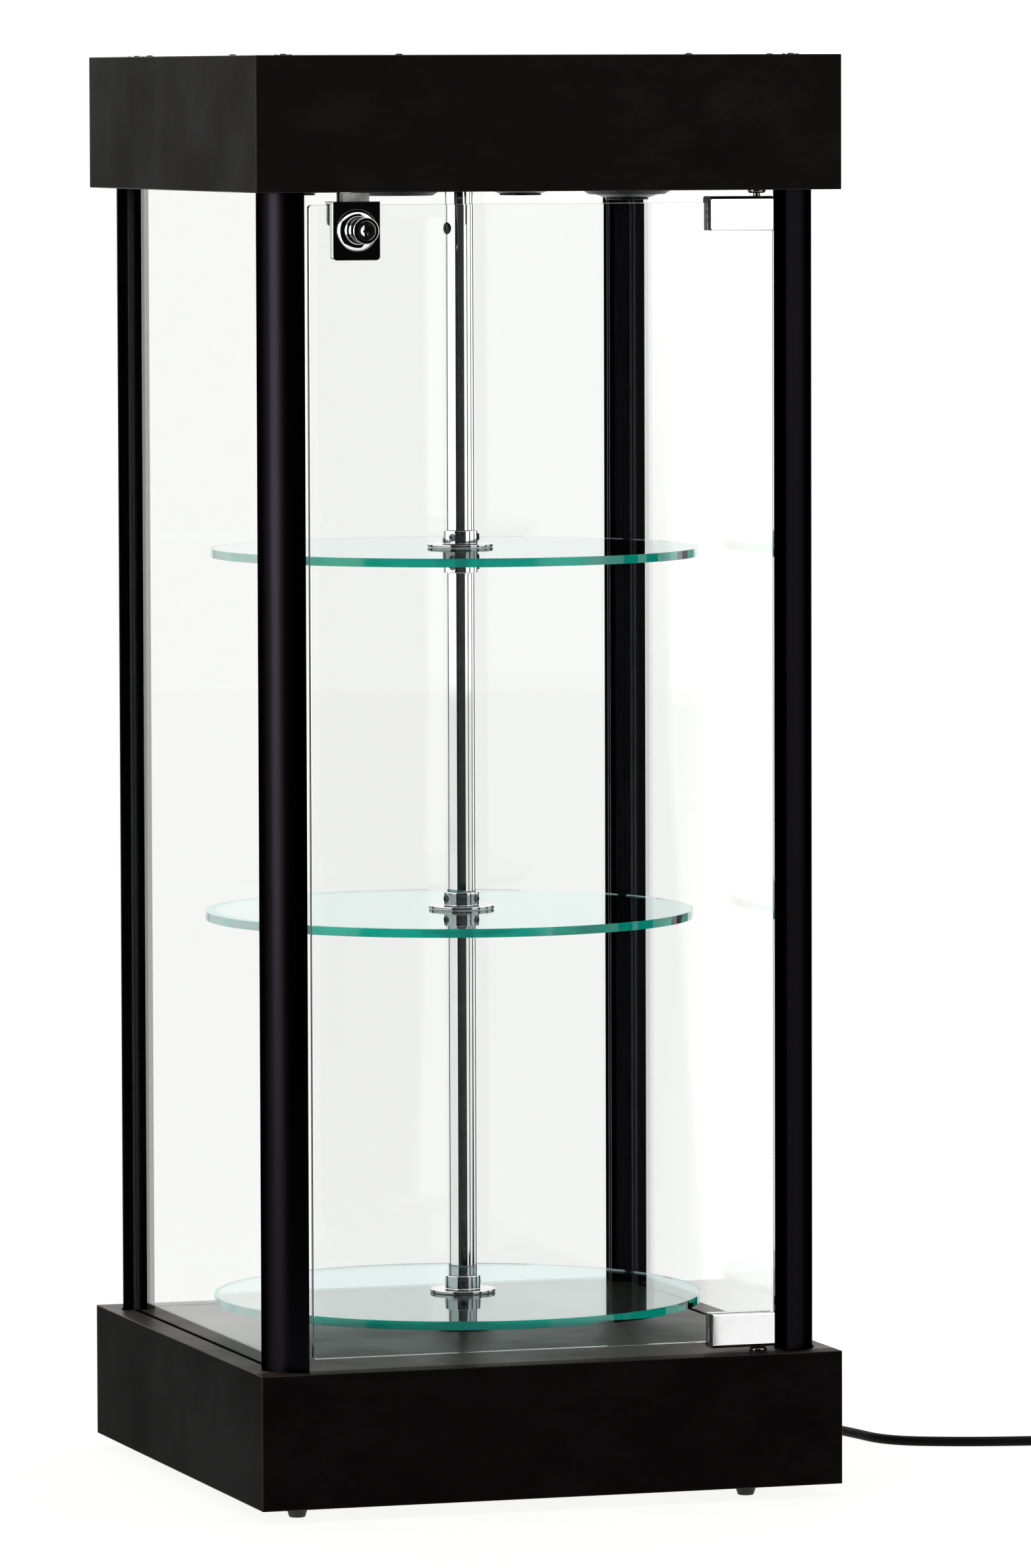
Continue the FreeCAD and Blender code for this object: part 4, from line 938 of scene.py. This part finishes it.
def worn_box(low, high):
    """Outer block of base or canopy with its edges rubbed round."""
    mesh = block(low, high)
    made = bmesh.ops.bevel(
        mesh, geom=mesh.edges[:], offset=sizes().board_edge, segments=3, profile=0.5, affect="EDGES",
        material=-1,
    )
    for face in made["faces"]:
        face.material_index = 1
    return mesh


def post_openings(low, high):
    """Tools for the four posts in the board between two levels."""
    return [tinted(mesh, 2) for mesh in four_ways(post_solid(POST_GAP, low - OVERCUT, high + OVERCUT))]


def bearing_holes(low, high):
    """Tools for the shaft's bush and the door's pivot in the board between two levels."""
    pivot = centre("upper_pivot")
    return [hole(BUSH_HOLE, 0, 0, low, high, 72), hole(PIVOT_HOLE, pivot.x, pivot.y, low, high)]


def make_boxes():
    """Base and canopy: laminated boxes with their deck, ceiling, grooves and openings."""
    shade = tuple(colours().laminate)
    edge = laminate_finish("rubbed_laminate_edge", lighter(shade, 0.008), 0.6, 0.36, 0.12)
    bare = timber_finish()
    make_canopy(shade, edge, bare)
    make_base(shade, edge, bare)
    for node in ("base_bottom_board", "base_battens", "canopy_battens"):
        dress(node, bare)


def make_canopy(shade, edge, bare):
    """Canopy box with openings for posts, panes, shaft, lamps, pivot, stop pin and bolt."""
    outside = laminate_finish("satin_black_laminate", shade, 0.45, 0.46, 0.022)
    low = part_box("canopy_ceiling")[0]
    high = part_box("canopy_lid")[1]
    inner = high.x - BOARD
    ceiling = low.z + BOARD
    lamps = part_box("lamp_trims")[1]
    stop = centre("stop_pin")
    bolt_low, bolt_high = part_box("lock_bolt")
    tools = [tinted(block((-inner, -inner, ceiling), (inner, inner, high.z - BOARD)), 2)]
    tools += post_openings(low.z, ceiling)
    tools += pane_grooves(low.z - OVERCUT, low.z + GROOVE)
    tools += four_ways(hole(LAMP_HOLE, lamps.x - LAMP_RIM, lamps.y - LAMP_RIM, low.z, ceiling, 72))
    tools += bearing_holes(low.z, ceiling)
    tools += [
        rod(STOP_HOLE, (stop.x, stop.y, low.z - OVERCUT), (stop.x, stop.y, low.z + STOP_DEPTH), 32),
        block(
            (bolt_low.x - STRIKE_GAP, bolt_low.y - STRIKE_GAP, low.z - OVERCUT),
            (bolt_high.x + STRIKE_GAP, bolt_high.y + STRIKE_GAP, low.z + STRIKE_DEPTH),
        ),
    ]
    boards = [f"canopy_{side}_board" for side in ("front", "back", "left", "right")]
    canopy = cut(worn_box(low, high), *tools)
    piece(
        "canopy_shell", canopy, "cabinet", [outside, edge, bare],
        boards + ["canopy_ceiling", "canopy_lid"],
    )


def make_base(shade, edge, bare):
    """Base box with its deck, and openings for posts, panes, shaft, pivot and cord."""
    scuffed = laminate_finish("scuffed_black_laminate", darker(shade, 0.3), 0.3, 0.48, 0.008)
    # The strip in front of the door gets a darker copy of the deck's laminate: painted shade.
    shaded_ledge = laminate_finish("front_ledge_painted_shade_laminate", (0.011, 0.008, 0.0065), 0.8, 0.42, 0.03)
    # Deck top in a lighter copy of the laminate: painted sheen.
    deck = laminate_finish("deck_laminate_painted_sheen", tuple(colours().deck), 0.8, 0.38, 0.13)
    low = Vector((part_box("base_left_board")[0].x, *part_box("base_front_board")[0].yz))
    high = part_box("base_deck")[1]
    inner = high.x - BOARD
    top = high.z
    x, _, z = CORD_ROUTE[0]
    tools = [tinted(block((-inner, -inner, low.z - OVERCUT), (inner, inner, top - BOARD)), 2)]
    tools += post_openings(top - BOARD, top)
    tools += pane_grooves(top - GROOVE, top + OVERCUT)
    tools += bearing_holes(top - BOARD, top)
    tools += [rod(GLAND_HOLE, (x, inner - OVERCUT, z), (x, high.y + OVERCUT, z), 48)]
    base = cut(worn_box(low, high), *tools)
    geometry = base.verts[:] + base.edges[:] + base.faces[:]
    bmesh.ops.bisect_plane(base, geom=geometry, plane_co=(0, LEDGE_END, 0), plane_no=(0, 1, 0))
    base.normal_update()
    # Top faces behind LEDGE_END show the deck's painted sheen, those in front the ledge's painted shade.
    for face in base.faces:
        middle = face.calc_center_median()
        if face.normal.z > 0.9 and middle.z > top - 0.005:
            face.material_index = 3 if middle.y > LEDGE_END else 4
    boards = [f"base_{side}_board" for side in ("front", "back", "left", "right")]
    piece(
        "base_shell", base, "cabinet", [scuffed, edge, bare, deck, shaded_ledge],
        boards + ["base_deck"],
    )


def make_glass():
    """Three fixed panes in their rubber channels, and the door glass."""
    arris = sizes().glass_arris
    clear = glass_finish("clear_float_glass", tuple(colours().glass), 0.15)
    for name in ("back", "left", "right"):
        low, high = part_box(f"{name}_pane")
        pane = softened(block(low, high), arris, 2)
        piece(f"{name}_glass", pane, "cabinet", [clear], [f"{name}_pane"])
    low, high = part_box("door_glass")
    outline = plate_outline(low, high, 0.0025, 0.0025)
    door = softened(prism(outline, high.y - low.y, into_front(high.y), 5), arris, 2, 50.0)
    piece("door_pane", door, "door", [clear], ["door_glass"])
    dress("glazing_seals", soft_finish("glazing_rubber", tuple(colours().rubber), 0.5))


# Turntable

SHELVES = {"shelf_lower": -108.0, "shelf_middle": -168.0, "shelf_upper": -134.0}  # bearing of a grub screw
FLANGE_RADIUS = 0.023
FLANGE_HEIGHT = 0.0025
NECK_RADIUS = 0.01235
HUB_HEIGHT = 0.012


def make_turntable():
    """Shaft with three glass shelves, each clamped between two hubs."""
    make_shaft()
    low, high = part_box("shelf_upper")
    green = glass_finish("green_edge_glass", tuple(colours().shelf_glass), 0.42, (high.x - low.x) / 2)
    bright = chrome_finish("hub_chrome", 0.02)
    hubs = []
    screws = []
    for name, first in SHELVES.items():
        low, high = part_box(name)
        piece(name + "_glass", shelf_solid(low, high), "turntable", [green], [name])
        for level, direction in ((high.z, 1), (low.z, -1)):
            hub, grubs = clamping_hub(level, direction, first)
            hubs.append(hub)
            screws += grubs
    piece("shelf_hub_set", gathered(hubs), "turntable", [bright], ["shelf_hubs"])
    steel = metal_finish("dark_screw_steel", (0.16, 0.16, 0.17), 0.22, 700.0, 0.15)
    piece("hub_set_screws", gathered(screws), "turntable", [steel], ["set_screws"])


def make_shaft():
    """Tubular shaft with a rubber grommet in its side."""
    low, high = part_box("shaft")
    inside = SHAFT - 0.0015
    cap = high.z - 0.003
    tube = turned(
        [(inside, low.z), (SHAFT, low.z), (SHAFT, high.z), (0.0001, high.z), (0.0001, cap), (inside, cap)],
        UPRIGHT, 96,
    )
    chrome = chrome_finish("shaft_chrome", 0.02)
    piece("turntable_shaft", softened(tube, 0.0004), "turntable", [chrome], ["shaft"])

    outwards = level_direction(192.0)
    button = turned(
        [
            (0.0, 0.0), (0.0043, 0.0), (0.0043, 0.0014), (0.0036, 0.0021), (0.0016, 0.0021),
            (0.0012, 0.0014), (0.0, 0.0014),
        ],
        Matrix.Translation(Vector((0, 0, 0.8792)) + outwards * 0.0088) @ facing(outwards), 48,
    )
    rubber = soft_finish("grommet_rubber", tuple(colours().rubber), 0.4)
    piece("shaft_grommet", softened(button, 0.0003, 2), "turntable", [rubber])


def level_direction(bearing):
    """Level direction at a bearing in degrees from the right."""
    angle = math.radians(bearing)
    return Vector((math.cos(angle), math.sin(angle), 0))


def shelf_solid(low, high):
    """Round glass shelf with the shaft's hole."""
    radius = (high.x - low.x) / 2
    thickness = high.z - low.z
    disc = turned(
        [(0.0, 0.0), (radius, 0.0), (radius, thickness), (0.0, thickness)],
        Matrix.Translation(((low.x + high.x) / 2, 0, low.z)), 240,
    )
    return softened(cut(disc, hole(0.011, 0, 0, low.z, high.z, 72)), sizes().shelf_arris, 1)


def clamping_hub(level, direction, first):
    """Flanged hub on a shelf's upper or lower face, and its three socketed grub screws."""
    place = Matrix.Translation((0, 0, level)) @ (UPRIGHT if direction > 0 else DOWNWARDS)
    hub = turned(
        [
            (RUNNING_BORE, 0.0), (FLANGE_RADIUS, 0.0), (FLANGE_RADIUS, FLANGE_HEIGHT),
            (NECK_RADIUS, FLANGE_HEIGHT), (NECK_RADIUS, HUB_HEIGHT), (RUNNING_BORE, HUB_HEIGHT),
        ],
        place, 96,
    )
    softened(hub, 0.0006, 3)
    spot = Vector((0, 0, level + direction * (FLANGE_HEIGHT + HUB_HEIGHT) / 2))
    holes = []
    screws = []
    for third in range(3):
        towards = level_direction(first + 120 * third)
        holes.append(rod(0.00255, spot + towards * 0.005, spot + towards * 0.0145, 32))
        screw = softened(rod(0.0025, spot + towards * 0.01005, spot + towards * 0.01335, 32), 0.0004, 2)
        socket = rod(sizes().socket_width / 2, spot + towards * 0.0121, spot + towards * 0.0145, 6)
        screws.append(cut(screw, socket))
    return cut(hub, *holes), screws


# Door

def clip_solid(node, outward):
    """U-shaped pivot clip round the upper or lower edge of the door glass."""
    low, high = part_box(node)
    glass_low, glass_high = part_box("door_glass")
    edge = glass_high.z if outward > 0 else glass_low.z
    web_inner = edge + outward * 0.0004
    web_outer = high.z if outward > 0 else low.z
    jaw_end = low.z if outward > 0 else high.z
    front, back = low.y, high.y
    corners = [
        (front, jaw_end, 0.00125), (front + 0.004, jaw_end, 0), (front + 0.004, web_inner, 0),
        (back - 0.0055, web_inner, 0), (back - 0.0055, jaw_end, 0), (back, jaw_end, 0.00125),
        (back, web_outer, 0.0025), (front, web_outer, 0.0025),
    ]
    clip = prism(corners, high.x - low.x, across(low.x), 6)
    # End faces take the second finish, painted near black: painted shade on the chrome clip's ends.
    for face in clip.faces:
        face.material_index = 1 if abs(face.normal.x) > 0.9 else 0
    softened(clip, sizes().fitting_edge, 3, 50.0)
    pivot = centre("upper_pivot")
    quarter = (high.x - low.x) / 4
    level = edge - outward * 0.0098
    start, end = web_inner - outward * OVERCUT, web_outer + outward * OVERCUT
    holes = [rod(PIVOT_HOLE, (pivot.x, pivot.y, start), (pivot.x, pivot.y, end), 32)]
    for x in (low.x + quarter, high.x - quarter):
        holes.append(rod(CLAMP_HOLE, (x, back - 0.0065, level), (x, back + OVERCUT, level), 24))
    return cut(clip, *holes)


def make_door_fittings():
    """Pivot clips of the door with their clamping parts, and the pivots in base and canopy."""
    chrome = chrome_finish("clip_chrome", 0.03)
    # The clip's end faces are painted near black: painted shade, not a bare sawn finish.
    shaded_end = metal_finish("painted_shade_clip_end", (0.012, 0.010, 0.009), 0.5, 800.0, 0.3, 0.00003, 0.0)
    piece("upper_pivot_clip", clip_solid("upper_clip", 1), "door", [chrome, shaded_end], ["upper_clip"])
    piece("lower_pivot_clip", clip_solid("lower_clip", -1), "door", [chrome, shaded_end], ["lower_clip"])

    nickel = metal_finish("turned_nickel_steel", (0.30, 0.29, 0.285), 0.12, 900.0, 0.12)
    shank = 0.008
    for node, radius, height in (("upper_pivot", 0.0062, 0.0023), ("lower_pivot", 0.0061, 0.003)):
        low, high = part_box(node)
        middle = centre(node)
        reach = high.z - low.z - shank
        if node == "upper_pivot":
            place = Matrix.Translation((middle.x, middle.y, high.z - shank)) @ DOWNWARDS
        else:
            place = Matrix.Translation((middle.x, middle.y, low.z + shank))
        flanged = turned(
            [
                (0.0, -shank), (0.0025, -shank), (0.0025, 0.0), (radius, 0.0), (radius, height * 0.55),
                (radius - height * 0.45, height), (0.0025, height), (0.0025, reach), (0.0, reach),
            ],
            place, 64,
        )
        piece(node + "_pin", softened(flanged, 0.0003, 2), "cabinet", [nickel], [node])
    dress("clamp_liners", soft_finish("clear_liner", (0.08, 0.08, 0.08), 0.35))
    dress("pressure_plates", metal_finish("plated_pressure_plate", (0.55, 0.55, 0.56), 0.2, 400.0))
    dress("clamp_screws", metal_finish("black_grub_steel", (0.06, 0.06, 0.065), 0.3, 700.0))
    dress("stop_pin", nickel)


def make_lock():
    """Clamp-on lock: housing with rosette and barrel, key plug and sliding bolt."""
    low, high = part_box("lock_housing")
    plug_low, plug_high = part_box("lock_plug")
    x = (low.x + high.x) / 2
    axis = (plug_low.z + plug_high.z) / 2
    chrome = chrome_finish("lock_chrome", 0.045)
    piece("lock_case", lock_case_solid(x, axis), "door", [chrome], ["lock_housing"])
    chrome = chrome_finish("plug_chrome", 0.09)
    piece("key_plug", key_plug_solid(x, axis), "lock_plug", [chrome], ["lock_plug"])

    low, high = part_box("lock_bolt")
    outline = plate_outline(low, high, 0.001, 0.0006)
    bolt = softened(prism(outline, high.y - low.y, into_front(high.y), 3), 0.0003, 2, 50.0)
    window = block(
        (x - 0.0014, low.y - OVERCUT, axis + 0.0041), (x + 0.0069, high.y + OVERCUT, axis + 0.00806)
    )
    zinc = metal_finish("cast_zinc", tuple(colours().zinc), 0.36, 520.0, 0.7, 0.0002, 0.3)
    piece("sliding_bolt", cut(bolt, window), "lock_bolt", [zinc], ["lock_bolt"])


def lock_case_solid(x, axis):
    """Bent case round the door's upper edge, with the rosette and barrel on its front."""
    low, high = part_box("lock_housing")
    bolt_low, bolt_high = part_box("lock_bolt")
    glass_low, glass_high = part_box("door_glass")
    liner = 0.0005
    front = glass_low.y - liner - 0.0075
    back = glass_low.y - liner
    rear_inner = glass_high.y + liner + 0.0012
    rear = rear_inner + 0.0034
    web_inner = glass_high.z + 0.0004
    jaw_height = 0.0167
    jaw_end = high.z - jaw_height
    corners = [
        (front, low.z, 0), (back, low.z, 0), (back, web_inner, 0), (rear_inner, web_inner, 0),
        (rear_inner, jaw_end, 0), (rear, jaw_end, 0), (rear, high.z, 0), (front, high.z, 0),
    ]
    body = prism(corners, high.x - low.x, across(low.x))
    lower_edges = []
    for side in body.edges:
        first, second = (vert.co for vert in side.verts)
        level = min(abs(first.z - low.z), abs(first.z - jaw_end))
        if abs(first.x - second.x) < 1e-9 and abs(first.z - second.z) < 1e-9 and level < 1e-7:
            lower_edges.append(side)
    rounded(body, lower_edges, 0.003, 8)
    softened(body, sizes().fitting_edge, 3, 50.0)
    rosette = turned(
        [
            (0.0, -0.003), (0.0145, -0.003), (0.0145, 0.0010), (0.0139, 0.0022), (0.0126, 0.0033),
            (0.0112, 0.0040), (0.0098, 0.0040), (0.0091, 0.0044), (0.0091, 0.0225), (0.0, 0.0225),
        ],
        Matrix.Translation((x, front, axis)) @ TO_FRONT, 96,
    )
    softened(rosette, 0.0005, 3, 40.0)
    cavity = block(
        (bolt_low.x - 0.0001, bolt_low.y - 0.0001, bolt_low.z - 0.0058),
        (bolt_high.x + 0.0001, bolt_high.y + 0.0001, high.z + OVERCUT),
    )
    bore = rod(0.00685, (x, front - 0.0235, axis), (x, bolt_low.y, axis), 72)
    level = high.z - jaw_height / 2 - 0.0004
    clamp = rod(CLAMP_HOLE, (x, rear_inner - 0.0001, level), (x, rear + OVERCUT, level), 24)
    return cut(fused(body, rosette), bore, cavity, clamp)


def key_plug_solid(x, axis):
    """Key plug with its keyway, and the off-centre pin that moves the bolt."""
    low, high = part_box("lock_plug")
    face = low.y
    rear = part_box("lock_bolt")[0].y - 0.0003
    plug = softened(rod(0.0068, (x, rear, axis), (x, face, axis), 72), 0.0004, 2)
    pin = rod(0.0012, (x, rear - 0.001, axis + 0.0055), (x, high.y, axis + 0.0055), 24)
    start, end = face - OVERCUT, face + 0.008
    keyway = block((x - 0.0012, start, axis - 0.0056), (x + 0.0012, end, axis + 0.0056))
    ward = block((x - 0.0021, start, axis - 0.0012), (x - 0.0010, end, axis + 0.0003))
    recess = turned(
        [(0.0, -0.001), (0.0046, -0.001), (0.0042, 0.0), (0.0012, 0.0013), (0.0, 0.0015)],
        Matrix.Translation((x, face, axis)) @ TO_BACK, 48,
    )
    return cut(fused(plug, pin), keyway, ward, recess)


# Lamps and small parts

LAMP_DROPS = {(-1, -1): 0.0032, (1, -1): 0.0070, (-1, 1): 0.0055, (1, 1): 0.0064}


def make_lamps():
    """Four downlights: trim rings with their sleeves, and the dark cups that hang in them."""
    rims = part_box("lamp_trims")[1]
    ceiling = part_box("canopy_ceiling")[0].z
    bore, sleeve = 0.0262, 0.0277
    trims = []
    cups = []
    for (side, depth), drop in LAMP_DROPS.items():
        spot = (side * (rims.x - LAMP_RIM), depth * (rims.y - LAMP_RIM), ceiling)
        trim = turned(
            [(bore, -0.0035), (LAMP_RIM, 0.0), (sleeve, 0.0), (sleeve, 0.026), (bore, 0.026)],
            Matrix.Translation(spot), 96,
        )
        trims.append(softened(trim, 0.0005, 3, 20.0))
        cup = turned(
            [
                (0.0, 0.0008 - drop), (0.0132, 0.0008 - drop), (0.0140, -drop), (0.015, -drop),
                (0.015, 0.0013 - drop), (0.023, 0.0039 - drop), (0.023, 0.018), (bore, 0.018),
                (bore, 0.022), (0.0, 0.022),
            ],
            Matrix.Translation(spot), 96,
        )
        cups.append(softened(cup, 0.0003, 2, 20.0))
    black = metal_finish("black_trim", (0.035, 0.034, 0.036), 0.3, 600.0, 0.2)
    dark = metal_finish("dark_lamp_cup", (0.028, 0.027, 0.029), 0.24, 500.0, 0.2)
    piece("lamp_trim_rings", gathered(trims), "cabinet", [black], ["lamp_trims"])
    piece("lamp_cup_set", gathered(cups), "cabinet", [dark], ["lamp_cups"])
    dress("transformer", soft_finish("transformer_case", (0.62, 0.62, 0.60), 0.4))


def cross_recess(place):
    """Tool for a cross recess in a screw head that faces along the Z axis of a place."""
    long, short, low, high = 0.0015, 0.0004, -0.0006, 0.001
    arms = fused(
        block((-long, -short, low), (long, short, high)), block((-short, -long, low), (short, long, high))
    )
    arms.transform(place)
    return arms


def screw_spots():
    """Where the lid is screwed to its battens."""
    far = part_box("lid_screws")[1].x - 0.0028
    spots = []
    for along in (-0.104, 0.104):
        spots += [(along, far), (along, -far), (far, along), (-far, along)]
    return spots


def make_small_parts():
    """Feet, post bolts and the screws of base and canopy."""
    steel = metal_finish("blackened_steel", (0.03, 0.03, 0.032), 0.34, 600.0, 0.3)
    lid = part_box("canopy_lid")[1].z
    screws = []
    for x, y in screw_spots():
        head = turned(
            [
                (0.0, 0.001), (0.0012, 0.00095), (0.0022, 0.0007), (0.0028, 0.0), (0.00175, 0.0),
                (0.00175, -0.016), (0.0, -0.016),
            ],
            Matrix.Translation((x, y, lid)), 32,
        )
        screws.append(cut(head, cross_recess(Matrix.Translation((x, y, lid + 0.0008)))))
    piece("lid_screw_set", gathered(screws), "cabinet", [steel], ["lid_screws"])

    nickel = chrome_finish("bolt_chrome", 0.08)
    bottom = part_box("base_front_board")[0].z
    bolts = []
    for x in (-POST_BOLT, POST_BOLT):
        for y in (-POST_BOLT, POST_BOLT):
            bolts += post_bolt_ends(x, y, bottom, lid)
    piece("post_bolt_set", gathered(bolts), "cabinet", [nickel], ["post_bolts"])

    rubber = soft_finish("foot_rubber", tuple(colours().rubber), 0.55)
    low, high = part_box("base_feet")
    feet = []
    for x in (low.x + FOOT, high.x - FOOT):
        for y in (low.y + FOOT, high.y - FOOT):
            foot = turned(
                [
                    (0.00185, 0.005), (0.0032, 0.005), (0.0032, 0.0), (0.0055, 0.0), (FOOT, 0.0095),
                    (0.00185, 0.0095),
                ],
                Matrix.Translation((x, y, 0)), 64,
            )
            feet.append(softened(foot, 0.0006, 3))
    piece("rubber_feet", gathered(feet), "cabinet", [rubber], ["base_feet"])
    dress("base_screws", steel)


def post_bolt_ends(x, y, bottom, lid):
    """Socketed head of a post's bolt on the lid, and the countersunk screw under the base."""
    head = turned(
        [
            (0.0, 0.002), (0.0038, 0.002), (0.0040, 0.0010), (0.0060, 0.0009), (0.0060, 0.0), (0.002, 0.0),
            (0.002, -0.026), (0.0, -0.026),
        ],
        Matrix.Translation((x, y, lid)), 48,
    )
    softened(head, 0.0002, 2)
    socket = rod(0.0014, (x, y, lid + 0.0006), (x, y, lid + 0.003), 6)
    lower = turned(
        [(0.0, 0.0), (0.004, 0.0), (0.002, 0.0024), (0.002, 0.026), (0.0, 0.026)],
        Matrix.Translation((x, y, bottom)), 48,
    )
    lower_socket = rod(0.00125, (x, y, bottom - OVERCUT), (x, y, bottom + 0.0014), 6)
    return [cut(head, socket), cut(lower, lower_socket)]


def make_drive():
    """Bushes of the shaft, and finishes of the drive under the deck."""
    polymer = soft_finish("black_bush_polymer", (0.016, 0.016, 0.017), 0.34)
    for node, board, depth in (("lower_bush", "base_deck", 0.014), ("upper_bush", "canopy_ceiling", BOARD)):
        bush = turned(
            [
                (RUNNING_BORE, -depth), (0.014, -depth), (0.014, 0.0), (0.020, 0.0), (0.020, 0.002),
                (RUNNING_BORE, 0.002),
            ],
            Matrix.Translation((0, 0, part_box(board)[1].z)), 72,
        )
        piece(node + "_ring", softened(bush, 0.0005, 3), "cabinet", [polymer], [node])
    dress("drive_coupling", metal_finish("turned_aluminium", (0.62, 0.62, 0.63), 0.28, 600.0))
    dress("thrust_washer", soft_finish("washer_polymer", (0.55, 0.54, 0.50), 0.4))
    dress("motor_output_shaft", metal_finish("ground_steel", (0.42, 0.42, 0.43), 0.18, 900.0))
    dress("motor_bracket", metal_finish("zinc_plated_sheet", (0.52, 0.52, 0.50), 0.3, 120.0, 0.3))
    dress("gear_motor", metal_finish("motor_housing", (0.36, 0.36, 0.37), 0.36, 300.0, 0.2))
    dress("motor_screws", metal_finish("plated_screw", (0.50, 0.49, 0.44), 0.25, 700.0))


# Add-on

class CABINET_OT_stage(bpy.types.Operator):
    """Adds the camera, floor, cards and lamps"""

    bl_idname = "cabinet.stage"
    bl_label = "Stage"

    def execute(self, context):
        make_stage()
        return {"FINISHED"}


class CABINET_OT_cord(bpy.types.Operator):
    """Adds the mains cord with its gland and plug"""

    bl_idname = "cabinet.cord"
    bl_label = "Cord"

    def execute(self, context):
        make_cord()
        return {"FINISHED"}


class CABINET_OT_boxes(bpy.types.Operator):
    """Adds the two laminated boxes"""

    bl_idname = "cabinet.boxes"
    bl_label = "Base and canopy"

    def execute(self, context):
        make_boxes()
        return {"FINISHED"}


class CABINET_OT_posts(bpy.types.Operator):
    """Adds the four quarter-round posts"""

    bl_idname = "cabinet.posts"
    bl_label = "Posts"

    def execute(self, context):
        make_posts()
        return {"FINISHED"}


class CABINET_OT_glass(bpy.types.Operator):
    """Adds the fixed panes and the door glass"""

    bl_idname = "cabinet.glass"
    bl_label = "Panes and door"

    def execute(self, context):
        make_glass()
        return {"FINISHED"}


class CABINET_OT_turntable(bpy.types.Operator):
    """Adds shaft, shelves and hubs"""

    bl_idname = "cabinet.turntable"
    bl_label = "Turntable"

    def execute(self, context):
        make_turntable()
        return {"FINISHED"}


class CABINET_OT_door_fittings(bpy.types.Operator):
    """Adds the pivot clips and pivots"""

    bl_idname = "cabinet.door_fittings"
    bl_label = "Door fittings"

    def execute(self, context):
        make_door_fittings()
        return {"FINISHED"}


class CABINET_OT_lock(bpy.types.Operator):
    """Adds the clamp-on lock"""

    bl_idname = "cabinet.lock"
    bl_label = "Lock"

    def execute(self, context):
        make_lock()
        return {"FINISHED"}


class CABINET_OT_lamps(bpy.types.Operator):
    """Adds the four downlights"""

    bl_idname = "cabinet.lamps"
    bl_label = "Downlights"

    def execute(self, context):
        make_lamps()
        return {"FINISHED"}


class CABINET_OT_small_parts(bpy.types.Operator):
    """Adds feet, bolts and screws"""

    bl_idname = "cabinet.small_parts"
    bl_label = "Feet and screws"

    def execute(self, context):
        make_small_parts()
        return {"FINISHED"}


class CABINET_OT_drive(bpy.types.Operator):
    """Adds bushes and dresses the drive"""

    bl_idname = "cabinet.drive"
    bl_label = "Drive"

    def execute(self, context):
        make_drive()
        return {"FINISHED"}


OPERATORS = [
    CABINET_OT_stage, CABINET_OT_cord, CABINET_OT_boxes, CABINET_OT_posts, CABINET_OT_glass,
    CABINET_OT_turntable, CABINET_OT_door_fittings, CABINET_OT_lock, CABINET_OT_lamps,
    CABINET_OT_small_parts, CABINET_OT_drive,
]


class CABINET_PT_pieces(bpy.types.Panel):
    """Lists the cabinet's operators and settings."""

    bl_label = "Display cabinet"
    bl_space_type = "VIEW_3D"
    bl_region_type = "UI"
    bl_category = "Cabinet"

    def draw(self, context):
        for made in OPERATORS:
            self.layout.operator(made.bl_idname)
        for group in (context.scene.cabinet_sizes, context.scene.cabinet_colours):
            for name in group.__annotations__:
                self.layout.prop(group, name)


CLASSES = [CabinetSizes, CabinetColours] + OPERATORS + [CABINET_PT_pieces]


def register():
    """Registers the classes and the scene's settings."""
    for made in CLASSES:
        bpy.utils.register_class(made)
    bpy.types.Scene.cabinet_sizes = PointerProperty(type=CabinetSizes)
    bpy.types.Scene.cabinet_colours = PointerProperty(type=CabinetColours)


def unregister():
    """Removes the classes and the scene's settings."""
    del bpy.types.Scene.cabinet_sizes
    del bpy.types.Scene.cabinet_colours
    for made in reversed(CLASSES):
        bpy.utils.unregister_class(made)


def main():
    """Makes the cabinet."""
    register()
    for made in OPERATORS:
        group, name = made.bl_idname.split(".")
        getattr(getattr(bpy.ops, group), name)()


if __name__ == "__main__":
    main()
